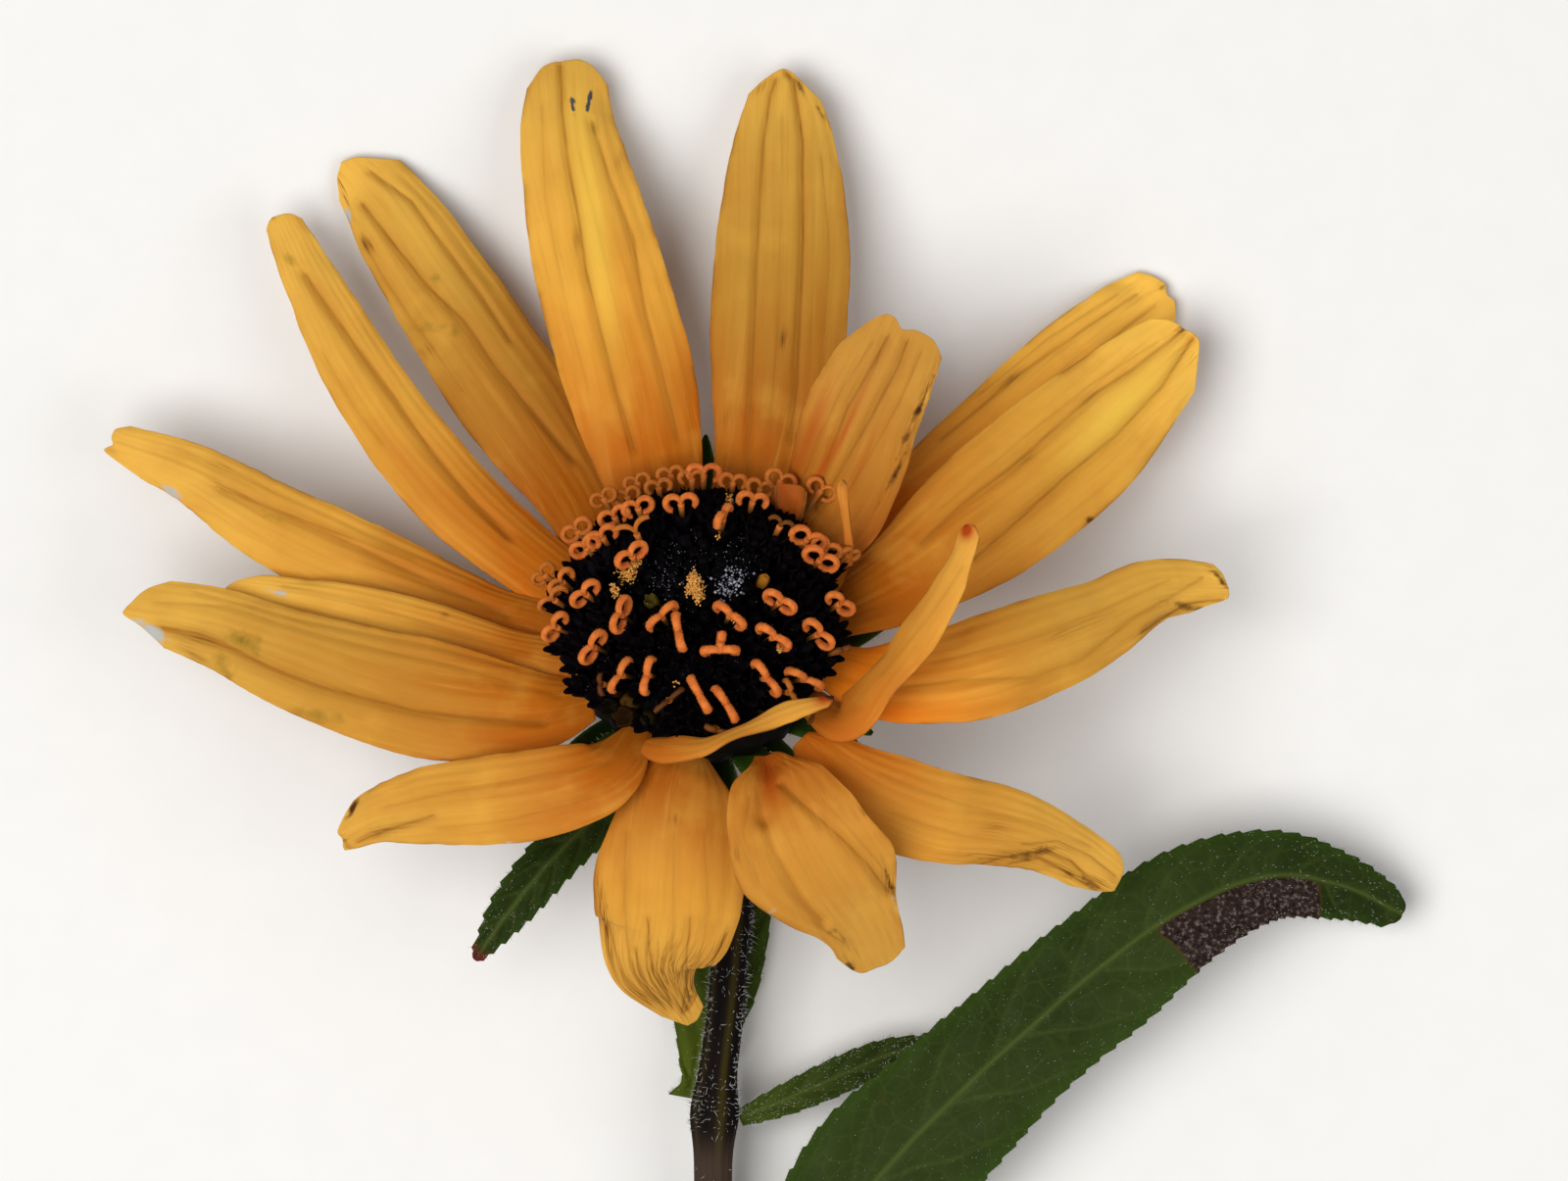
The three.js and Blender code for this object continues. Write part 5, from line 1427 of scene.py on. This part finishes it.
class SUNFLOWER_OT_cup(bpy.types.Operator):
    """Builds the green cup behind the head with its two rings of phyllaries"""
    bl_idname = "sunflower.cup"
    bl_label = "Cup"

    def execute(self, context):
        rng = np.random.default_rng(5)
        piece = Piece()
        profile = np.vstack([curve_at(np.array(CUP[:-1]), np.linspace(0, 1, 40))[0], CUP[-1]])
        turn = np.linspace(0, 2 * math.pi, CUP_SIDES, endpoint=False)
        ribs = 1 + 0.025 * np.cos(22 * turn)[None, :] * smoothstep(1.6, 4, profile[:, :1])
        radius = profile[:, :1] * ribs
        ring, faces = lathe(radius, profile[:, 1:], turn)
        # Painted shade near the top of the cup, between the bases of the rays
        painted_shade = smoothstep(-5.4, -4.0, profile[:, 1:]) + 0 * radius
        piece.add(head_to_plan(ring), faces, edge=0.0, rim=painted_shade)
        roots, ways = [], []
        for k in range(PHYLLARIES):
            for ring_name, rows, shift, curl in (("inner", INNER_PHYLLARY, 0.0, 0.15),
                                                 ("outer", OUTER_PHYLLARY, 0.5, -0.1)):
                turned, longer, raised = LONG_PHYLLARIES.get((ring_name, k), (0, 1, 0))
                angle = 2 * math.pi * (k + shift) / PHYLLARIES + math.radians(turned)
                rows, foot = np.array(rows, float), rows[0][0]
                rows[:, 2] += raised * ((rows[:, 0] - foot) / (rows[-1, 0] - foot)) ** 2
                rows[:, 0] = foot + (rows[:, 0] - foot) * longer
                found = make_bract(piece, angle, rows, rng, curl * rng.uniform(0.3, 1.2))
                roots.append(found[0])
                ways.append(found[1])
        piece.make("cup_and_phyllaries", "involucre", cup_material(), ["involucre"])
        roots, ways = np.concatenate(roots), unit(np.concatenate(ways))
        lengths = rng.uniform(*PHYLLARY_HAIR_LENGTHS, len(roots))
        make_hairs("phyllary", "involucre", roots, ways, lengths, HAIR_RADIUS, 0.2, rng)
        return {"FINISHED"}


def make_hairs(name, slot, roots, ways, lengths, radius, bend, rng):
    """A piece of white hairs, each bent over by its own random share. All share one material."""
    shade = bpy.context.scene.sunflower_greens.hair
    material = (bpy.data.materials.get("white hair")
                or plain_material("white hair", shade[:], colour("9EA09C"), 2500))
    piece = Piece()
    piece.add(*hairs(roots, ways, lengths, radius, rng.normal(0, bend, ways.shape)))
    piece.make(name + "_hairs", slot, material)


class SUNFLOWER_OT_stem(bpy.types.Operator):
    """Builds the ribbed stalk with its swollen node and stiff hairs"""
    bl_idname = "sunflower.stem"
    bl_label = "Stalk"

    def execute(self, context):
        p = context.scene.sunflower_greens
        rng = np.random.default_rng(11)
        steps, sides = STEM_STEPS, STEM_SIDES
        path, run = curve_at(STEM_COURSE, np.linspace(0, 1, steps))
        run = unit(run)
        side = unit(np.array([1.0, 0, 0]) - run * run[:, :1])
        turn = around(sides)
        y = path[:, 1][:, None]
        swell = STEM_NODE_SWELL * np.exp(-((y - STEM_NODE_Y) / STEM_NODE_LENGTH) ** 2)
        ribs = 0.035 * np.cos(11 * turn + 0.4 * ripple(rng, y, turn * 0, 0.15, 1))
        radius = STEM_RADIUS + swell + ribs + 0.03 * ripple(rng, y, np.cos(turn) * 2, 0.5, 1)
        out = round_ring(side, np.cross(run, side), turn)
        skin = path[:, None] + out * radius[..., None]
        skin[..., 2] = np.maximum(skin[..., 2], 0.0)
        piece = Piece()
        stripe = (np.exp(-((out[..., 0] - 0.3) / 0.2) ** 2)
                  + 0.6 * np.exp(-((out[..., 0] + 0.75) / 0.12) ** 2)) * (out[..., 2] > 0)
        low = smoothstep(*BROWN_FROM, y) * np.ones_like(radius)
        piece.add(skin, [grid_faces(steps, sides, wrap=True)],
                  stripe=stripe * smoothstep(*STRIPES_FROM, y), low=low * 0.85, cut=0.0)
        k = np.arange(sides)
        n = (k + 1) % sides
        for row, reverse in ((0, True), (steps - 1, False)):
            edge, centre = skin[row], skin[row].mean(0)
            middle = centre - run[row] * (0.08 if reverse else -0.08)
            cap = np.concatenate([edge, centre + (edge - centre) * 0.8, middle[None]])
            ring = np.stack([k, n, n + sides, k + sides], -1)
            fan = np.stack([k + sides, n + sides, np.full(sides, 2 * sides)], -1)
            if reverse:
                ring, fan = ring[:, ::-1], fan[:, ::-1]
            cut = np.concatenate([np.zeros(sides), np.ones(sides + 1)])
            piece.add(cap, [ring, fan], stripe=0.0, low=0.0, cut=cut if reverse else 0.0)
        piece.make("stalk", "stem", stem_material(), ["stem"])
        count = STALK_HAIRS
        i = (rng.uniform(0, 1, count) ** 0.8 * (steps - 1)).astype(int)
        j = rng.integers(0, sides, count)
        at, height = skin[i, j], y[i, 0]
        node = np.exp(-((height - STEM_NODE_Y - 0.8) / 1.8) ** 2) * (out[i, j, 0] < 0.2)
        flanks = 0.2 + 0.5 * smoothstep(0.3, 0.8, np.abs(out[i, j, 0]))
        thin = np.where(height > -28, np.maximum(flanks, 0.95 * node), 0.03)
        keep = (rng.uniform(0, 1, count) < thin) & (out[i, j, 2] > -0.5) & (at[:, 2] > 0.4)
        roots, ways = at[keep], unit(0.8 * out[i, j][keep] + rng.normal(0, 0.5, (keep.sum(), 3)))
        lengths = p.hair_length / MM * rng.uniform(*STALK_HAIR_SHARES, len(roots))
        make_hairs("stalk", "stem", roots, ways, lengths, HAIR_RADIUS, 0.35, rng)
        return {"FINISHED"}


def leaf_relief(leaf, reach, across, half, length):
    """A leaf's rise and the strength of its veins.

    The midrib is a groove e^-(distance / 0.16)^2. Side veins leave it in pairs, one spacing
    apart, lean forward and sweep along the rim: their phase is the whole number nearest to
    (along - 0.9 out + 0.5 half log(1.04 - |across|)) / spacing.
    """
    u, v = reach[:, None], across[None, :]
    out = np.abs(v) * half
    rib = np.exp(-(out / 0.16) ** 2)
    sweep = 0.5 * half * np.log(1.04 - np.minimum(np.abs(v), 1.0))
    bend = 0.12 * np.sin(u * length * 1.3 + 4 * v)
    phase = (u * length - 0.9 * out + sweep + bend) / leaf["spacing"] + np.where(v > 0, 0.0, 0.4)
    gap = np.abs(phase - np.round(phase)) * leaf["spacing"]
    slope = 1 / (1.8 + 0.5 / (1.04 - np.minimum(np.abs(v), 1.0)))
    veins = np.exp(-(gap * slope / 0.07) ** 2) * smoothstep(0, 0.3, out) * (1 - np.abs(v) ** 3)
    puff = 0.1 * np.cos(math.pi * np.clip(gap / leaf["spacing"] * 2, 0, 1)) * (1 - v ** 4)
    rise = half * leaf["camber"] * (1 - v * v) - 0.16 * rib - 0.06 * veins
    return rise - puff * smoothstep(0, 0.5, out), np.maximum(0.8 * rib, leaf["veins"] * veins)


def dead_patch(points, across):
    """How dead each point of the long leaf is: 1 right of the patch's slanting left edge, left of
    its right end and beyond the midrib, and 0 elsewhere."""
    (ax, ay), (bx, by) = (seen(*pixel) for pixel in BLOTCH_LEFT)
    far = math.hypot(bx - ax, by - ay)
    inside = ((by - ay) * (points[..., 0] - ax) - (bx - ax) * (points[..., 1] - ay)) / far
    end = seen(BLOTCH_RIGHT, 0)[0] - points[..., 0]
    return (smoothstep(-0.5, 0.5, -inside) * smoothstep(-0.6, 0.6, end)
            * smoothstep(0.02, 0.1, across))


def make_leaf(name, leaf, material, rows, columns):
    """One leaf: a sheet with veins sunk into it, small forward teeth, and hairs on face and rim."""
    rng = np.random.default_rng(sum(map(ord, name)))
    reach = np.linspace(0, 1, rows)
    across = even_columns(columns, 1.35)
    middle, side, normal, half, t, length = blade_frame(leaf["rows"], reach, across,
                                                          round_end(leaf["tip"]))
    u, v = reach[:, None], across[None, :]
    saw = (u * length / TOOTH_LENGTH + np.where(v > 0, 0.0, 0.37)) % 1
    half = half * (1 + 0.015 * ripple(rng, u * length, np.sign(v) * 3, 0.5, 1))
    rise, vein = leaf_relief(leaf, reach, across, half, length)
    half = half + side_trim(leaf, t, across)
    half = half + leaf["teeth"] * saw * smoothstep(0.8, 1, np.abs(v)) * smoothstep(0, 0.1, u)
    wave = 0.12 * ripple(rng, u * length, v, 0.45, 1.5) * smoothstep(0.05, 0.4, u)
    sheet = middle + side * (v * half)[..., None] + normal * (rise + wave * v * v)[..., None]
    thick = (LEAF_HALF * (0.4 + 0.6 * (1 - v ** 6)))[..., None]
    top, bottom = sheet + normal * thick, sheet - normal * thick
    near, far = leaf.get("fresh", (0.0, 0.0))
    piece = Piece()
    piece.add_sheet(np.stack([top, bottom]), vein=vein, edge=np.abs(v) ** 6,
                    blotch=dead_patch(sheet, v) if name == "leaf_large" else 0.0,
                    rust=smoothstep(0.93, 1.0, u) if name == "leafy_bract" else 0.0,
                    fresh=near + (far - near) * smoothstep(0, 0.6, t),
                    u=v * half / 10, v=u * length / 10)
    piece.make(name + "_blade", "leaf", material, [name])
    forward = unit(np.gradient(middle, axis=0))
    i, right = rng.integers(1, rows - 2, leaf["cilia"]), rng.integers(0, 2, leaf["cilia"])
    j = right * (columns - 1)
    out = side[i, j] * (2.0 * right - 1)[:, None]
    ways = unit(out + forward[i, j] * rng.uniform(0.2, 0.9, (len(i), 1)) + normal[i, j] * 0.5)
    i2, j2 = rng.integers(2, rows - 2, leaf["fur"]), rng.integers(1, columns - 1, leaf["fur"])
    roots = np.concatenate([(top[i, j] + bottom[i, j]) / 2, top[i2, j2]])
    ways = np.concatenate([ways, unit(normal[i2, j2] + forward[i2, j2] * 0.9
                                      + rng.normal(0, 0.3, (len(i2), 3)))])
    lengths = np.concatenate([rng.uniform(*LEAF_RIM_LENGTHS, len(i)),
                              rng.uniform(*LEAF_FACE_LENGTHS, len(i2))])
    thin = LONG_LEAF_HAIR_RADIUS if name == "leaf_large" else LEAF_HAIR_RADIUS
    make_hairs(name, "leaf", roots, ways, lengths, thin, 0.15, rng)


class SUNFLOWER_OT_leaves(bpy.types.Operator):
    """Builds the long leaf, the two at the node and the leafy bract under the head"""
    bl_idname = "sunflower.leaves"
    bl_label = "Leaves"

    def execute(self, context):
        material = leaf_material()
        for name, leaf in LEAVES.items():
            grid = LONG_LEAF_GRID if name == "leaf_large" else LEAF_GRID
            make_leaf(name, leaf, material, *grid)
        return {"FINISHED"}


def area_light(name, place, size, power):
    """A square soft light at a place, turned to shine at the flower."""
    light = bpy.data.lights.new(name, "AREA")
    light.shape, light.size, light.energy = "SQUARE", size, power
    lamp = bpy.data.objects.new(name, light)
    back = unit(np.array(place, float) - np.array(LIGHT_AIM, float))
    side = unit(np.cross((0, 1, 0.01), back))
    up = np.cross(back, side)
    turned = Matrix(np.stack([side, up, back], -1).tolist()).to_4x4()
    lamp.matrix_world = Matrix.Translation(place) @ turned
    bpy.context.scene.collection.objects.link(lamp)


class SUNFLOWER_OT_stage(bpy.types.Operator):
    """Lays the pale floor, hangs the soft lights and puts the camera straight above"""
    bl_idname = "sunflower.stage"
    bl_label = "Stage"

    def execute(self, context):
        p = context.scene.sunflower_stage
        lo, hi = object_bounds()
        x, y = (lo[0] + hi[0]) / 2, (lo[1] + hi[1]) / 2
        mesh = bpy.data.meshes.new("floor")
        mesh.from_pydata([(x + i * FLOOR_HALF, y + j * FLOOR_HALF, -FLOOR_DROP)
                          for i, j in ((-1, -1), (1, -1), (1, 1), (-1, 1))], [], [(0, 1, 2, 3)])
        mesh.materials.append(floor_material())
        floor = bpy.data.objects.new("floor", mesh)
        context.scene.collection.objects.link(floor)
        floor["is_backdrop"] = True
        area_light("key light", *KEY_LIGHT, p.key)
        area_light("fill light", *FILL_LIGHT, p.fill)
        world = context.scene.world or bpy.data.worlds.new("sky")
        context.scene.world = world
        world.use_nodes = True
        sky = world.node_tree.nodes["Background"]
        sky.inputs["Color"].default_value = SKY_COLOUR
        sky.inputs["Strength"].default_value = p.sky
        context.scene.view_settings.view_transform = "Standard"
        camera = bpy.data.cameras.new("camera")
        camera.sensor_width = SENSOR
        camera.lens = SENSOR * (p.distance / MM) / (PICTURE[0] / PIXELS_PER_MM)
        camera.clip_end = CLIP_END
        eye = bpy.data.objects.new("camera", camera)
        centre = np.array([*seen(PICTURE[0] / 2, PICTURE[1] / 2), 0]) - PLAN_ORIGIN
        eye.location = (centre[0] * MM, centre[1] * MM, p.distance + HEAD_ROOM)
        context.scene.collection.objects.link(eye)
        context.scene.camera = eye
        return {"FINISHED"}


class SUNFLOWER_PT_panel(bpy.types.Panel):
    """Lists the pieces and their settings in the sidebar"""
    bl_label = "Sunflower"
    bl_idname = "SUNFLOWER_PT_panel"
    bl_space_type = "VIEW_3D"
    bl_region_type = "UI"
    bl_category = "Sunflower"

    def draw(self, context):
        for group, operators in GROUPS.items():
            box = self.layout.box()
            settings = getattr(context.scene, group)
            for key in settings.__annotations__:
                box.prop(settings, key)
            for operator in operators:
                box.operator(operator.bl_idname)


GROUPS = {
    "sunflower_stage": (SUNFLOWER_OT_stage,),
    "sunflower_greens": (SUNFLOWER_OT_cup, SUNFLOWER_OT_stem, SUNFLOWER_OT_leaves),
    "sunflower_disc": (SUNFLOWER_OT_disc, SUNFLOWER_OT_styles, SUNFLOWER_OT_pollen),
    "sunflower_rays": (SUNFLOWER_OT_rays,),
}
SETTINGS = {"sunflower_stage": SunflowerStage, "sunflower_greens": SunflowerGreens,
            "sunflower_disc": SunflowerDisc, "sunflower_rays": SunflowerRays}
OPERATORS = [operator for group in GROUPS.values() for operator in group]


def register():
    """Registers the settings, the operators and the panel."""
    for name, kind in SETTINGS.items():
        bpy.utils.register_class(kind)
        setattr(bpy.types.Scene, name, PointerProperty(type=kind))
    for kind in [*OPERATORS, SUNFLOWER_PT_panel]:
        bpy.utils.register_class(kind)


def unregister():
    """Takes back what register made."""
    for kind in [SUNFLOWER_PT_panel, *reversed(OPERATORS)]:
        bpy.utils.unregister_class(kind)
    for name, kind in reversed(SETTINGS.items()):
        delattr(bpy.types.Scene, name)
        bpy.utils.unregister_class(kind)


def main():
    """Builds the flower on its frame: registers the settings and runs each builder in turn."""
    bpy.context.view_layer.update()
    register()
    for stage in ("stage", "cup", "stem", "leaves", "disc", "styles", "pollen", "rays"):
        getattr(bpy.ops.sunflower, stage)()


if __name__ == "__main__":
    main()
